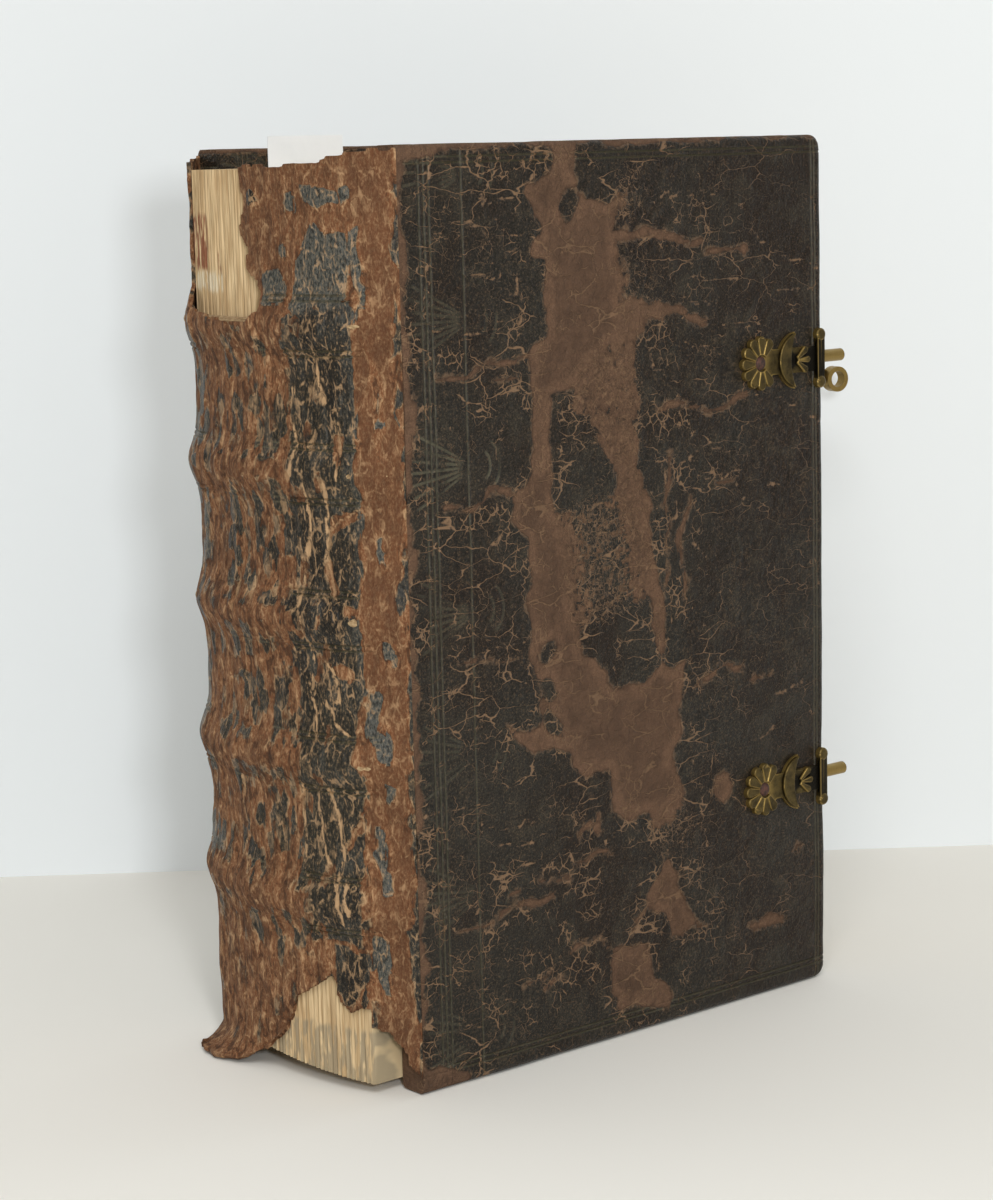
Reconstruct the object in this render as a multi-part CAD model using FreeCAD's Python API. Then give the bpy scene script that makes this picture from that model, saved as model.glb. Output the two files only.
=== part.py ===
import FreeCAD, Part
import math
import os

V = FreeCAD.Vector

# Sizes in millimetres and degrees. The book stands on its tail: +Z is the head, +X runs from the
# spine to the fore edge, -Y is the front cover. X is 0 at the joints, Y is 0 at mid thickness.

# Covers
board_height = 180.0
board_width = 112.0
book_thickness = 64.0
cover_thickness = 7.0
cover_leather = 0.9
cover_edge_round = 1.5
cover_corner_round = 3.0
turn_in_thickness = 0.5
turn_in_width = 13.0
pastedown_sheet = 0.25
pastedown_margin = 4.0
joint_gap = 0.15

# Leaves, sewn and rounded, settled askew so that the tail square is deeper at the back
block_gap = 0.3
head_square = 4.0
tail_square_front = 2.0
tail_square_back = 6.2
fore_edge_square = 4.5
fore_edge_hollow = 5.0
shoulder_reach = 6.5
shoulder_flare = 0.9
spine_round = 4.8

# Raised cords and the leather over the spine
cord_count = 5
cord_pitch = 27.5
lowest_cord = 37.2
cord_radius = 1.3
cord_seat = 0.05
cord_end_inset = 1.8
spine_leather = 1.0
spine_fit = 0.15
shoulder_round = 3.0
band_cover = 1.1
cord_channel = 0.1
head_cap_drop = 2.8
tail_rest_clear = 0.3

# Slip of paper standing between the leaves and the back cover
slip_left = 12.2
slip_width = 18.7
slip_thickness = 0.16
slip_depth = 62.0
slip_show = 2.2

# Brass catch plates on the front cover, and the pegs that stand out of the fore edge
catch_heights = {"upper": 133.9, "lower": 44.6}
plate_sheet = 0.6
relief_rise = 0.55
shell_from_edge = 19.4
shell_radius = 5.6
petal_count = 9
petal_gap = 0.2
petal_half_width = 1.15
petal_narrowing = 0.45
first_petal_deg = 58.0
petal_fan_deg = 244.0
crescent_from_edge = 11.6
crescent_radius = 5.9
crescent_body = 2.7
crescent_horn = 2.4
crescent_hollow = 0.95
crescent_margin = 0.3
leaf_from_edge = 6.9
leaf_root = 2.4
leaf_start = 0.6
leaf_length = 2.9
leaf_half_width = 0.75
leaf_spread_deg = 35.0
bar_from_edge = 1.9
bar_half_height = 4.9
bar_half_width = 1.05
knob_radius = 1.35
knob_rise = 1.4
knob_rounding = 0.6
web_half_height = 2.6
peg_radius = 1.3
peg_stand = 8.2
peg_root = 9.0
peg_inset = 2.2
peg_socket_run = 5.0
nail_shank_radius = 0.7
nail_shank_length = 4.2
nail_head_radius = 1.45
nail_head_rise = 0.7
nail_fit = 0.02

# Brass hinge plates on the back cover and the one hasp that is left
hinge_plate_sheet = 0.9
hinge_plate_length = 24.0
hinge_plate_half_height = 5.0
hinge_plate_point_radius = 3.4
hinge_lobe_radius = 2.6
hinge_lobe_from_point = 3.2
hinge_lobe_half_span = 3.1
hinge_bead_radius = 1.5
hinge_bead_from_end = 6.0
hinge_nick_radius = 3.4
hinge_nick_from_point = 0.6
hinge_nick_outside = 0.4
hinge_waist_radius = 3.2
hinge_waist_from_point = 9.6
hinge_waist_outside = 1.2
hinge_tongue_overlap = 1.2
hinge_nail_offsets = [6.0, 17.5]
knuckle_radius = 1.7
knuckle_overhang = 2.6
knuckle_outer_length = 2.6
knuckle_middle_length = 3.6
knuckle_side_gap = 0.15
knuckle_swing_clear = 0.4
hinge_pin_radius = 0.75
hinge_pin_fit = 0.05
hinge_pin_head = 0.5
hinge_pin_head_step = 0.35
hasp_sheet = 0.9
hasp_root_half_width = 1.7
hasp_root_length = 6.0
hasp_neck_overlap = 0.6
hasp_waist_half_width = 2.0
hasp_belly_half_width = 3.9
hasp_eye_radius = 3.0
hasp_eye_hole_radius = 1.9
hasp_eye_length = 2.6
hasp_lean_deg = 13.0
hasp_rest_deg = 9.4

# Places worked out from the sizes
half_thickness = book_thickness / 2
inner_face = half_thickness - cover_thickness
half_block = inner_face - block_gap
head_z = board_height - head_square
arc_radius = (half_block ** 2 + spine_round ** 2) / (2 * spine_round)
arc_centre_x = arc_radius - shoulder_reach - spine_round
shoulder_angle = math.asin(half_block / arc_radius)
# Tools longer than what they cut
cutter_reach = 40.0
spine_form_depth = 4.0
bore_run = 8.0
hinge_x = board_width + knuckle_overhang
hinge_y = half_thickness + hinge_plate_sheet - knuckle_radius
peg_y = -half_thickness + peg_inset
hasp_length = hinge_y - peg_y
hasp_drop = hasp_length * math.sin(math.radians(hasp_lean_deg)) * math.sin(math.radians(hasp_rest_deg))


def box(x0, y0, z0, x1, y1, z1):
    return Part.makeBox(x1 - x0, y1 - y0, z1 - z0, V(x0, y0, z0))


def face_of(edges):
    return Part.Face(Part.Wire(Part.__sortEdges__(edges)))


def edges_where(shape, keep):
    return [edge for edge in shape.Edges if keep(edge)]


def edge_middle(edge):
    return edge.valueAt((edge.FirstParameter + edge.LastParameter) / 2)


def polygon_prism(points, direction):
    return Part.Face(Part.makePolygon(points + [points[0]])).extrude(direction)


def mirror_to_back(shape):
    return shape.mirror(V(0, 0, 0), V(0, 1, 0))


# Leaves
def text_block():
    fore_x = board_width - fore_edge_square
    shoulder_x = -shoulder_reach
    spine_arc = Part.Arc(
        V(shoulder_x, -half_block, 0),
        V(arc_centre_x - arc_radius, 0, 0),
        V(shoulder_x, half_block, 0),
    ).toShape()
    fore_arc = Part.Arc(
        V(fore_x, half_block, 0),
        V(fore_x - fore_edge_hollow, 0, 0),
        V(fore_x, -half_block, 0),
    ).toShape()
    front = Part.makeLine(V(fore_x, -half_block, 0), V(shoulder_x, -half_block, 0))
    back = Part.makeLine(V(shoulder_x, half_block, 0), V(fore_x, half_block, 0))
    leaves = face_of([spine_arc, back, fore_arc, front]).extrude(V(0, 0, head_z))
    below_tail = polygon_prism(
        [
            V(-cutter_reach, -half_block, -1),
            V(-cutter_reach, -half_block, tail_square_front),
            V(-cutter_reach, half_block, tail_square_back),
            V(-cutter_reach, half_block, -1),
        ],
        V(board_width + 2 * cutter_reach, 0, 0),
    )
    return leaves.cut(below_tail)


# Covers, built at the front; the back cover is the same pair of boards mirrored
def cover_slab(inset, depth_front, depth_back, x_start, edge_round, corner_round):
    slab = box(
        x_start,
        -half_thickness + depth_front,
        inset,
        board_width - inset,
        -half_thickness + depth_back,
        board_height - inset,
    )
    far_x = board_width - inset

    def is_corner(edge):
        middle = edge_middle(edge)
        along_y = abs(edge.tangentAt(edge.FirstParameter).y) > 0.99
        return along_y and abs(middle.x - far_x) < 0.01

    slab = slab.makeFillet(corner_round, edges_where(slab, is_corner))

    def is_outer_rim(edge):
        box_of_edge = edge.BoundBox
        on_outer_face = abs(box_of_edge.YMax - (-half_thickness + depth_front)) < 0.01
        return on_outer_face and box_of_edge.XMax > x_start + 0.01

    return slab.makeFillet(edge_round, edges_where(slab, is_outer_rim))


def board_core():
    depth_back = cover_thickness - pastedown_sheet - turn_in_thickness
    return cover_slab(
        cover_leather,
        cover_leather,
        depth_back,
        joint_gap,
        cover_edge_round - cover_leather * 0.5,
        cover_corner_round - cover_leather,
    )


def cover_skin():
    depth_back = cover_thickness - pastedown_sheet
    skin = cover_slab(0, 0, depth_back, joint_gap, cover_edge_round, cover_corner_round)
    hollow = box(
        0,
        -half_thickness + cover_thickness - pastedown_sheet - turn_in_thickness,
        turn_in_width,
        board_width - turn_in_width,
        -half_thickness + cover_thickness + 1,
        board_height - turn_in_width,
    )
    return skin.cut(board_core()).cut(hollow)


def pastedown():
    top_y = -inner_face
    rim_y = top_y - pastedown_sheet
    floor_y = rim_y - turn_in_thickness
    joint_x = pastedown_margin
    sheet = box(
        joint_x,
        rim_y,
        pastedown_margin,
        board_width - pastedown_margin,
        top_y,
        board_height - pastedown_margin,
    )
    well = box(
        joint_x,
        floor_y,
        turn_in_width,
        board_width - turn_in_width,
        rim_y,
        board_height - turn_in_width,
    )
    well_inside = box(
        joint_x - 1,
        floor_y + pastedown_sheet,
        turn_in_width + pastedown_sheet,
        board_width - turn_in_width - pastedown_sheet,
        top_y + 1,
        board_height - turn_in_width - pastedown_sheet,
    )
    return sheet.fuse(well).cut(well_inside)


# Raised cords that the sections are sewn on
def shoulder_point(side):
    radius = arc_radius + cord_seat + cord_radius
    return V(
        arc_centre_x - radius * math.cos(shoulder_angle),
        side * radius * math.sin(shoulder_angle),
        0,
    )


def cord_end_point(side):
    return V(-cord_end_inset, side * (half_thickness - cord_end_inset), 0)


def rope(radius, height):
    ring_radius = arc_radius + cord_seat + cord_radius
    start = V(arc_centre_x - ring_radius, 0, 0)
    disc = Part.Face(Part.Wire(Part.makeCircle(radius, start, V(0, 1, 0))))
    axis_point = V(arc_centre_x, 0, 0)
    half_turn = math.degrees(shoulder_angle)
    disc.rotate(axis_point, V(0, 0, 1), -half_turn)
    parts = [disc.revolve(axis_point, V(0, 0, 1), 2 * half_turn)]
    for side in (-1, 1):
        bend = shoulder_point(side)
        end = cord_end_point(side)
        run = end - bend
        parts.append(Part.makeSphere(radius, bend))
        parts.append(Part.makeCylinder(radius, run.Length, bend, run))
    shape = parts[0]
    for piece in parts[1:]:
        shape = shape.fuse(piece)
    shape.translate(V(0, 0, height))
    return shape


def cord_heights():
    return [lowest_cord + index * cord_pitch for index in range(cord_count)]


# Leather over the spine: one skin, raised over the cords, torn open at head and tail
def spine_form(offset, z0, z1):
    radius = arc_radius + offset
    joint_start = V(0, half_thickness - (spine_leather + spine_fit - offset), 0)
    shoulder_mid = V(-shoulder_reach - spine_fit - spine_leather, half_block + shoulder_flare, 0)
    slope = V(shoulder_mid.x, shoulder_mid.y - half_thickness, 0)
    slope.normalize()
    # Where the slope from the joint meets the round of the spine
    from_centre = V(joint_start.x - arc_centre_x, joint_start.y, 0)
    along = from_centre.dot(slope)
    square = from_centre.dot(from_centre) - radius ** 2
    travel = -along + math.sqrt(along ** 2 - square)
    meet = V(joint_start.x + slope.x * travel, joint_start.y + slope.y * travel, 0)
    meet_front = V(meet.x, -meet.y, 0)
    inner_back = V(spine_form_depth, joint_start.y, 0)
    inner_front = V(spine_form_depth, -joint_start.y, 0)
    front_start = V(0, -joint_start.y, 0)
    arc = Part.Arc(meet_front, V(arc_centre_x - radius, 0, 0), meet).toShape()
    edges = [
        arc,
        Part.makeLine(meet, joint_start),
        Part.makeLine(joint_start, inner_back),
        Part.makeLine(inner_back, inner_front),
        Part.makeLine(inner_front, front_start),
        Part.makeLine(front_start, meet_front),
    ]
    form = face_of(edges).extrude(V(0, 0, z1 - z0))
    form.translate(V(0, 0, z0))

    def is_shoulder(edge):
        middle = edge_middle(edge)
        upright = abs(edge.tangentAt(edge.FirstParameter).z) > 0.99
        return upright and abs(abs(middle.y) - meet.y) < 0.01

    return form.makeFillet(shoulder_round + offset, edges_where(form, is_shoulder))


# Outlines of what is torn away, seen square on to the spine: Y with the drop below the head,
# or Y with the height above the tail
head_tear = [
    (0.6, -2.0),
    (0.4, 9.5),
    (1.2, 16.0),
    (-0.8, 19.0),
    (-0.4, 22.6),
    (-3.2, 24.6),
    (-5.8, 27.0),
    (-5.6, 29.6),
    (-3.4, 31.6),
    (1.0, 32.1),
    (7.6, 31.4),
    (18.0, 29.8),
    (23.4, 27.2),
    (25.8, 25.0),
    (26.2, 12.0),
    (34.0, 10.5),
    (34.0, -2.0),
]
head_trim = [
    (-33.0, -3.0),
    (-33.0, 0.0),
    (-27.0, 0.8),
    (-20.0, 2.3),
    (-10.0, 3.0),
    (2.0, 2.7),
    (24.0, 2.7),
    (33.0, 1.0),
    (33.0, -3.0),
]
tail_tear = [
    (34.0, -1.0),
    (34.0, 2.4),
    (25.0, 3.6),
    (13.0, 6.8),
    (1.0, 10.8),
    (-8.0, 16.2),
    (-13.0, 19.4),
    (-17.5, 22.8),
    (-18.2, 17.8),
    (-21.2, 15.4),
    (-25.4, 17.0),
    (-24.4, 13.2),
    (-27.4, 12.6),
    (-29.4, 8.4),
    (-30.2, 4.8),
    (-31.6, 3.2),
    (-32.4, -1.0),
]


def below_head(outline):
    return [(y, board_height - drop) for y, drop in outline]


def tear_tool(outline):
    return polygon_prism([V(-cutter_reach, y, z) for y, z in outline], V(cutter_reach + 2, 0, 0))


# The tail of the leather is bent out to the left and rests just above the table
flap_fold = [V(-8.4, 25.0, 5.4), V(-12.2, 8.0, 10.8), V(-12.2, -8.0, 17.2)]
flap_edge = [V(-15.2, 21.2, 1.2), V(-15.9, 14.0, 1.2), V(-12.9, -2.6, 7.8)]
flap_leather = 0.8
flap_belly = 1.0


def tail_flap():
    sections = []
    for fold, edge in zip(flap_fold, flap_edge):
        run = edge - fold
        inward = run.cross(V(0, 1, 0))
        inward.normalize()
        bend = fold + run * 0.5 - inward * flap_belly
        outer = [fold, bend, edge]
        inner = [point + inward * flap_leather for point in outer]
        loop = outer + inner[::-1]
        sections.append(Part.makePolygon(loop + [loop[0]]))
    return Part.makeLoft(sections, True, True)


def spine_skin():
    skin = spine_form(spine_fit + spine_leather, tail_rest_clear, board_height)
    skin = skin.common(box(-cutter_reach, -half_thickness, 0, -joint_gap, half_thickness, board_height))
    for height in cord_heights():
        skin = skin.fuse(rope(cord_radius + band_cover, height))
    skin = skin.common(box(-cutter_reach, -half_thickness, 0, -joint_gap, half_thickness, board_height))
    skin = skin.cut(spine_form(spine_fit, -1, board_height + 1))
    for height in cord_heights():
        skin = skin.cut(rope(cord_radius + cord_channel, height))
    skin = skin.cut(tear_tool(below_head(head_tear)))
    skin = skin.cut(tear_tool(below_head(head_trim)))
    skin = skin.cut(tear_tool(tail_tear))
    return skin.fuse(tail_flap())


def paper_slip():
    back = half_block + block_gap / 2 + slip_thickness / 2
    top = board_height + slip_show
    return box(
        slip_left,
        back - slip_thickness,
        top - slip_depth,
        slip_left + slip_width,
        back,
        top,
    )


# Catch plates: a shell of petals round the nail, a crescent, a leaf and a knobbed bar at the edge.
# Drawn flat in (X, Z) about the peg's height, with the sheet on the leather and the relief outward.
def rounded_pad(face, rise, rounding):
    pad = face.extrude(V(0, -rise, 0))

    def is_outer(edge):
        return abs(edge.BoundBox.YMax + rise) < 0.01

    return pad.makeFillet(rounding, edges_where(pad, is_outer))


def disc_face(x, z, radius):
    return Part.Face(Part.Wire(Part.makeCircle(radius, V(x, 0, z), V(0, 1, 0))))


def petal_face(x, z, angle, start, length, half_width):
    direction = V(math.cos(angle), 0, math.sin(angle))
    side = V(-direction.z, 0, direction.x)
    centre = V(x, 0, z)
    root = centre + direction * start
    tip = centre + direction * (start + length)
    narrow = half_width * petal_narrowing
    edges = [
        Part.makeLine(root + side * narrow, tip + side * half_width),
        Part.Arc(tip + side * half_width, tip + direction * half_width, tip - side * half_width).toShape(),
        Part.makeLine(tip - side * half_width, root - side * narrow),
        Part.makeLine(root - side * narrow, root + side * narrow),
    ]
    return face_of(edges)


def crescent_face(x, radius, body):
    top = V(x + crescent_horn, 0, radius)
    bottom = V(x + crescent_horn, 0, -radius)
    outer = Part.Arc(top, V(x - body, 0, 0), bottom).toShape()
    inner = Part.Arc(bottom, V(x + crescent_hollow, 0, 0), top).toShape()
    return face_of([outer, inner])


def catch_plate():
    edge_x = board_width
    shell_x = edge_x - shell_from_edge
    crescent_x = edge_x - crescent_from_edge
    leaf_x = edge_x - leaf_from_edge
    bar_x = edge_x - bar_from_edge
    sheets = [
        disc_face(shell_x, 0, shell_radius - petal_half_width),
        crescent_face(crescent_x, crescent_radius, crescent_body),
    ]
    web = box(shell_x, -plate_sheet, -web_half_height, bar_x, 0, web_half_height)
    plate = web
    for face in sheets:
        plate = plate.fuse(face.extrude(V(0, -plate_sheet, 0)))
    raised = []
    petal_start = nail_head_radius + petal_gap
    petal_length = shell_radius - petal_half_width - petal_start
    for index in range(petal_count):
        angle = math.radians(first_petal_deg + petal_fan_deg * index / (petal_count - 1))
        petal = petal_face(shell_x, 0, angle, petal_start, petal_length, petal_half_width)
        raised.append(rounded_pad(petal, plate_sheet + relief_rise, relief_rise * 0.7))
    crescent = crescent_face(
        crescent_x, crescent_radius - crescent_margin, crescent_body - crescent_margin
    )
    raised.append(rounded_pad(crescent, plate_sheet + relief_rise, relief_rise * 0.55))
    for side in (1, 0, -1):
        angle = math.radians(side * leaf_spread_deg)
        lobe = petal_face(leaf_x - leaf_root, 0, angle, leaf_start, leaf_length, leaf_half_width)
        raised.append(rounded_pad(lobe, plate_sheet + relief_rise, relief_rise * 0.6))
    bar = box(
        bar_x - bar_half_width,
        -plate_sheet - relief_rise,
        -bar_half_height,
        bar_x + bar_half_width,
        0,
        bar_half_height,
    )
    raised.append(bar)
    for side in (-1, 1):
        raised.append(
            rounded_pad(disc_face(bar_x, side * bar_half_height, knob_radius), knob_rise, knob_rounding)
        )
    for pad in raised:
        plate = plate.fuse(pad)
    hole = Part.makeCylinder(
        nail_shank_radius + nail_fit, bore_run, V(shell_x, bore_run / 2, 0), V(0, -1, 0)
    )
    return plate.cut(hole)


def placed_on_front(shape, height):
    moved = shape.copy()
    moved.translate(V(0, -half_thickness, height))
    return moved


def nail(seat_rise):
    shank = Part.makeCylinder(
        nail_shank_radius, nail_shank_length + seat_rise, V(0, -seat_rise, 0), V(0, 1, 0)
    )
    ball_radius = (nail_head_radius ** 2 + nail_head_rise ** 2) / (2 * nail_head_rise)
    ball = Part.makeSphere(ball_radius, V(0, -seat_rise + ball_radius - nail_head_rise, 0))
    half_space = box(
        -cutter_reach,
        -seat_rise - cutter_reach,
        -cutter_reach,
        cutter_reach,
        -seat_rise,
        cutter_reach,
    )
    return shank.fuse(ball.common(half_space))


def nail_hole():
    return Part.makeCylinder(
        nail_shank_radius + nail_fit, nail_shank_length + nail_fit, V(0, 0, 0), V(0, 1, 0)
    )


def peg():
    length = peg_root + peg_stand
    rod = Part.makeCylinder(peg_radius, length - peg_radius * 0.6, V(0, 0, 0), V(1, 0, 0))
    tip = Part.makeSphere(peg_radius, V(length - peg_radius, 0, 0))
    shape = rod.fuse(tip)
    shape = shape.common(box(-1, -cutter_reach, -cutter_reach, length + 1, cutter_reach, cutter_reach))
    shape.translate(V(board_width - peg_root, 0, 0))
    return shape


def peg_hole():
    return Part.makeCylinder(
        peg_radius + nail_fit,
        peg_root + peg_socket_run,
        V(board_width - peg_root - nail_fit, 0, 0),
        V(1, 0, 0),
    )


# The hinge's own frame: local Z is the pin, local X points along the hasp as it hangs open
def hinge_matrix(height):
    lean = math.radians(hasp_lean_deg)
    rest = math.radians(hasp_rest_deg)
    along = V(math.cos(lean) * math.cos(rest), -math.cos(lean) * math.sin(rest), -math.sin(lean))
    axis = V(math.sin(lean) * math.cos(rest), -math.sin(lean) * math.sin(rest), math.cos(lean))
    across = axis.cross(along)
    return FreeCAD.Matrix(
        along.x, across.x, axis.x, hinge_x,
        along.y, across.y, axis.y, hinge_y,
        along.z, across.z, axis.z, height,
        0, 0, 0, 1,
    )


def hinge_axis():
    matrix = hinge_matrix(0)
    return V(matrix.A13, matrix.A23, matrix.A33)


def in_hinge_frame(shape, height):
    moved = shape.copy()
    moved.Placement = FreeCAD.Placement(hinge_matrix(height))
    return moved


def knuckle(z0, length):
    return Part.makeCylinder(knuckle_radius, length, V(0, 0, z0), V(0, 0, 1))


def pin_bore():
    return Part.makeCylinder(
        hinge_pin_radius + hinge_pin_fit,
        2 * cutter_reach,
        V(0, 0, -cutter_reach),
        V(0, 0, 1),
    )


def outer_knuckle_starts():
    inner = knuckle_middle_length / 2 + knuckle_side_gap
    return [-inner - knuckle_outer_length, inner]


def hinge_height(catch_height):
    return catch_height + hasp_drop


def hinge_plate(height):
    lean = hasp_lean_deg
    root_x = -knuckle_overhang - hinge_plate_length
    point_x = root_x + hinge_plate_point_radius
    sheet_y0 = knuckle_radius - hinge_plate_sheet
    outline = box(
        point_x,
        sheet_y0,
        -hinge_plate_half_height,
        -knuckle_overhang,
        knuckle_radius,
        hinge_plate_half_height,
    )
    lobe_x = point_x + hinge_lobe_from_point
    bead_x = -knuckle_overhang - hinge_bead_from_end
    nick_x = point_x + hinge_nick_from_point
    waist_x = point_x + hinge_waist_from_point
    lobes = [(point_x, 0, hinge_plate_point_radius)]
    waist = []
    for side in (-1, 1):
        lobes.append((lobe_x, side * hinge_lobe_half_span, hinge_lobe_radius))
        lobes.append((bead_x, side * hinge_plate_half_height, hinge_bead_radius))
        waist.append((nick_x, side * (hinge_plate_half_height + hinge_nick_outside), hinge_nick_radius))
        waist.append((waist_x, side * (hinge_plate_half_height + hinge_waist_outside), hinge_waist_radius))
    plate = outline
    for x, z, radius in waist:
        plate = plate.cut(Part.makeCylinder(radius, bore_run, V(x, -bore_run / 2, z), V(0, 1, 0)))
    for x, z, radius in lobes:
        plate = plate.fuse(
            Part.makeCylinder(radius, hinge_plate_sheet, V(x, sheet_y0, z), V(0, 1, 0))
        )
    plate.rotate(V(0, 0, 0), V(0, 1, 0), lean)
    plate.translate(V(hinge_x, hinge_y, height))
    for start in outer_knuckle_starts():
        ear = knuckle(start, knuckle_outer_length)
        tongue = box(
            -knuckle_overhang - hinge_tongue_overlap,
            sheet_y0,
            start,
            0,
            knuckle_radius,
            start + knuckle_outer_length,
        )
        tongue.rotate(V(0, 0, 0), V(0, 1, 0), lean)
        tongue.translate(V(hinge_x, hinge_y, height))
        plate = plate.fuse(tongue)
        plate = plate.fuse(in_hinge_frame(ear, height))
    swing_space = Part.makeCylinder(
        knuckle_radius + knuckle_swing_clear,
        knuckle_middle_length + 2 * knuckle_side_gap,
        V(0, 0, -knuckle_middle_length / 2 - knuckle_side_gap),
        V(0, 0, 1),
    )
    plate = plate.cut(in_hinge_frame(swing_space, height))
    plate = plate.cut(in_hinge_frame(pin_bore(), height))
    for hole in hinge_nail_places(height):
        cutter = Part.makeCylinder(
            nail_shank_radius + nail_fit,
            bore_run,
            V(hole.x, half_thickness - bore_run / 2, hole.z),
            V(0, 1, 0),
        )
        plate = plate.cut(cutter)
    return plate


def hinge_nail_places(height):
    lean = math.radians(hasp_lean_deg)
    places = []
    for offset in hinge_nail_offsets:
        along = -knuckle_overhang - offset
        places.append(V(hinge_x + along * math.cos(lean), 0, height - along * math.sin(lean)))
    return places


def hinge_nails(height):
    nails = []
    for place in hinge_nail_places(height):
        one = mirror_to_back(nail(hinge_plate_sheet))
        one.translate(V(place.x, half_thickness, place.z))
        nails.append(one)
    return Part.makeCompound(nails)


def hinge_pin(height):
    half_span = knuckle_middle_length / 2 + knuckle_side_gap + knuckle_outer_length
    rod = Part.makeCylinder(
        hinge_pin_radius,
        2 * half_span + hinge_pin_head,
        V(0, 0, -half_span - hinge_pin_head / 2),
        V(0, 0, 1),
    )
    shape = rod
    for z in (half_span + hinge_pin_fit * 2, -half_span - hinge_pin_head - hinge_pin_fit * 2):
        head = Part.makeCylinder(
            hinge_pin_radius + hinge_pin_head_step, hinge_pin_head, V(0, 0, z), V(0, 0, 1)
        )
        shape = shape.fuse(head)
    return in_hinge_frame(shape, height)


# Hasp: knuckle, a strap that swells at the middle, and the eye that drops over the peg
def hasp(height):
    strap_y0 = knuckle_radius - hasp_sheet
    neck_x = hasp_length - hasp_eye_radius + hasp_neck_overlap
    belly_x = hasp_length * 0.42
    waist_x = hasp_length * 0.78
    upper = [
        V(0, strap_y0, hasp_root_half_width),
        V(hasp_root_length, strap_y0, hasp_root_half_width),
        V(belly_x * 0.62, strap_y0, hasp_belly_half_width * 0.86),
        V(belly_x, strap_y0, hasp_belly_half_width),
        V(waist_x, strap_y0, hasp_waist_half_width),
        V(neck_x, strap_y0, hasp_root_half_width),
    ]
    lower = [V(point.x, point.y, -point.z) for point in upper]
    top_curve = Part.BSplineCurve()
    top_curve.interpolate(upper)
    low_curve = Part.BSplineCurve()
    low_curve.interpolate(lower)
    edges = [
        top_curve.toShape(),
        low_curve.toShape(),
        Part.makeLine(upper[0], lower[0]),
        Part.makeLine(upper[-1], lower[-1]),
    ]
    strap = face_of(edges).extrude(V(0, hasp_sheet, 0))
    barrel = knuckle(-knuckle_middle_length / 2, knuckle_middle_length)
    eye = Part.makeCylinder(
        hasp_eye_radius, hasp_eye_length, V(hasp_length, knuckle_radius - hasp_eye_length, 0), V(0, 1, 0)
    )
    shape = strap.fuse(barrel).fuse(eye)
    shape = shape.cut(pin_bore())
    shape = shape.cut(
        Part.makeCylinder(
            hasp_eye_hole_radius, 2 * bore_run, V(hasp_length, -bore_run, 0), V(0, 1, 0)
        )
    )
    return in_hinge_frame(shape, height)


def build():
    nodes = {}
    nodes["text_block"] = text_block()
    nodes["spine_leather"] = spine_skin()
    for index, height in enumerate(cord_heights()):
        nodes["raised_cord_%d" % (index + 1)] = rope(cord_radius, height).common(
            box(-cutter_reach, -half_thickness, 0, -joint_gap, half_thickness, board_height)
        )
    nodes["paper_slip"] = paper_slip()

    front_board = board_core()
    front_leather = cover_skin()
    for name, height in catch_heights.items():
        plate = placed_on_front(catch_plate(), height)
        nail_x = board_width - shell_from_edge
        one_nail = nail(plate_sheet)
        one_nail.translate(V(nail_x, -half_thickness, height))
        bore = nail_hole()
        bore.translate(V(nail_x, -half_thickness, height))
        one_peg = peg()
        one_peg.translate(V(0, peg_y, height))
        socket = peg_hole()
        socket.translate(V(0, peg_y, height))
        front_board = front_board.cut(bore).cut(socket)
        front_leather = front_leather.cut(bore).cut(socket)
        nodes["%s_catch_plate" % name] = plate
        nodes["%s_catch_peg" % name] = one_peg
        nodes["%s_catch_nail" % name] = one_nail
    nodes["front_board"] = front_board
    nodes["front_leather"] = front_leather
    nodes["front_pastedown"] = pastedown()

    back_board = mirror_to_back(board_core())
    back_leather = mirror_to_back(cover_skin())
    for name, catch_height in catch_heights.items():
        height = hinge_height(catch_height)
        nodes["%s_hinge_plate" % name] = hinge_plate(height)
        nodes["%s_hinge_nails" % name] = hinge_nails(height)
        for place in hinge_nail_places(height):
            bore = mirror_to_back(nail_hole())
            bore.translate(V(place.x, half_thickness, place.z))
            back_board = back_board.cut(bore)
            back_leather = back_leather.cut(bore)
    nodes["back_board"] = back_board
    nodes["back_leather"] = back_leather
    nodes["back_pastedown"] = mirror_to_back(pastedown())
    upper_height = hinge_height(catch_heights["upper"])
    nodes["upper_hinge_pin"] = hinge_pin(upper_height)
    nodes["upper_hasp"] = hasp(upper_height)
    return nodes


def main():
    nodes = build()
    whole = FreeCAD.BoundBox()
    for shape in nodes.values():
        whole.add(shape.optimalBoundingBox())
    # The origin is the middle of the footprint, on the table
    shift = V(-(whole.XMin + whole.XMax) / 2, -(whole.YMin + whole.YMax) / 2, -whole.ZMin)
    os.makedirs("parts", exist_ok=True)
    for name, shape in nodes.items():
        moved = shape.copy()
        moved.translate(shift)
        moved.exportStep("parts/%s.step" % name)
        print(name, len(moved.Solids), moved.isValid(), round(moved.Volume, 2))
    axis = hinge_axis()
    upper = V(hinge_x, hinge_y, hinge_height(catch_heights["upper"])) + shift
    print("size", round(whole.XLength, 3), round(whole.YLength, 3), round(whole.ZLength, 3))
    print("shift", round(shift.x, 4), round(shift.y, 4), round(shift.z, 4))
    print("front joint", round(shift.x, 4), round(-half_thickness + shift.y, 4))
    print("back joint", round(shift.x, 4), round(half_thickness + shift.y, 4))
    print("hasp hinge", [round(value, 4) for value in upper], [round(value, 6) for value in axis])


main()
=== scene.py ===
import math

import bmesh
import bpy
import numpy as np
from mathutils import Matrix, Vector


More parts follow.
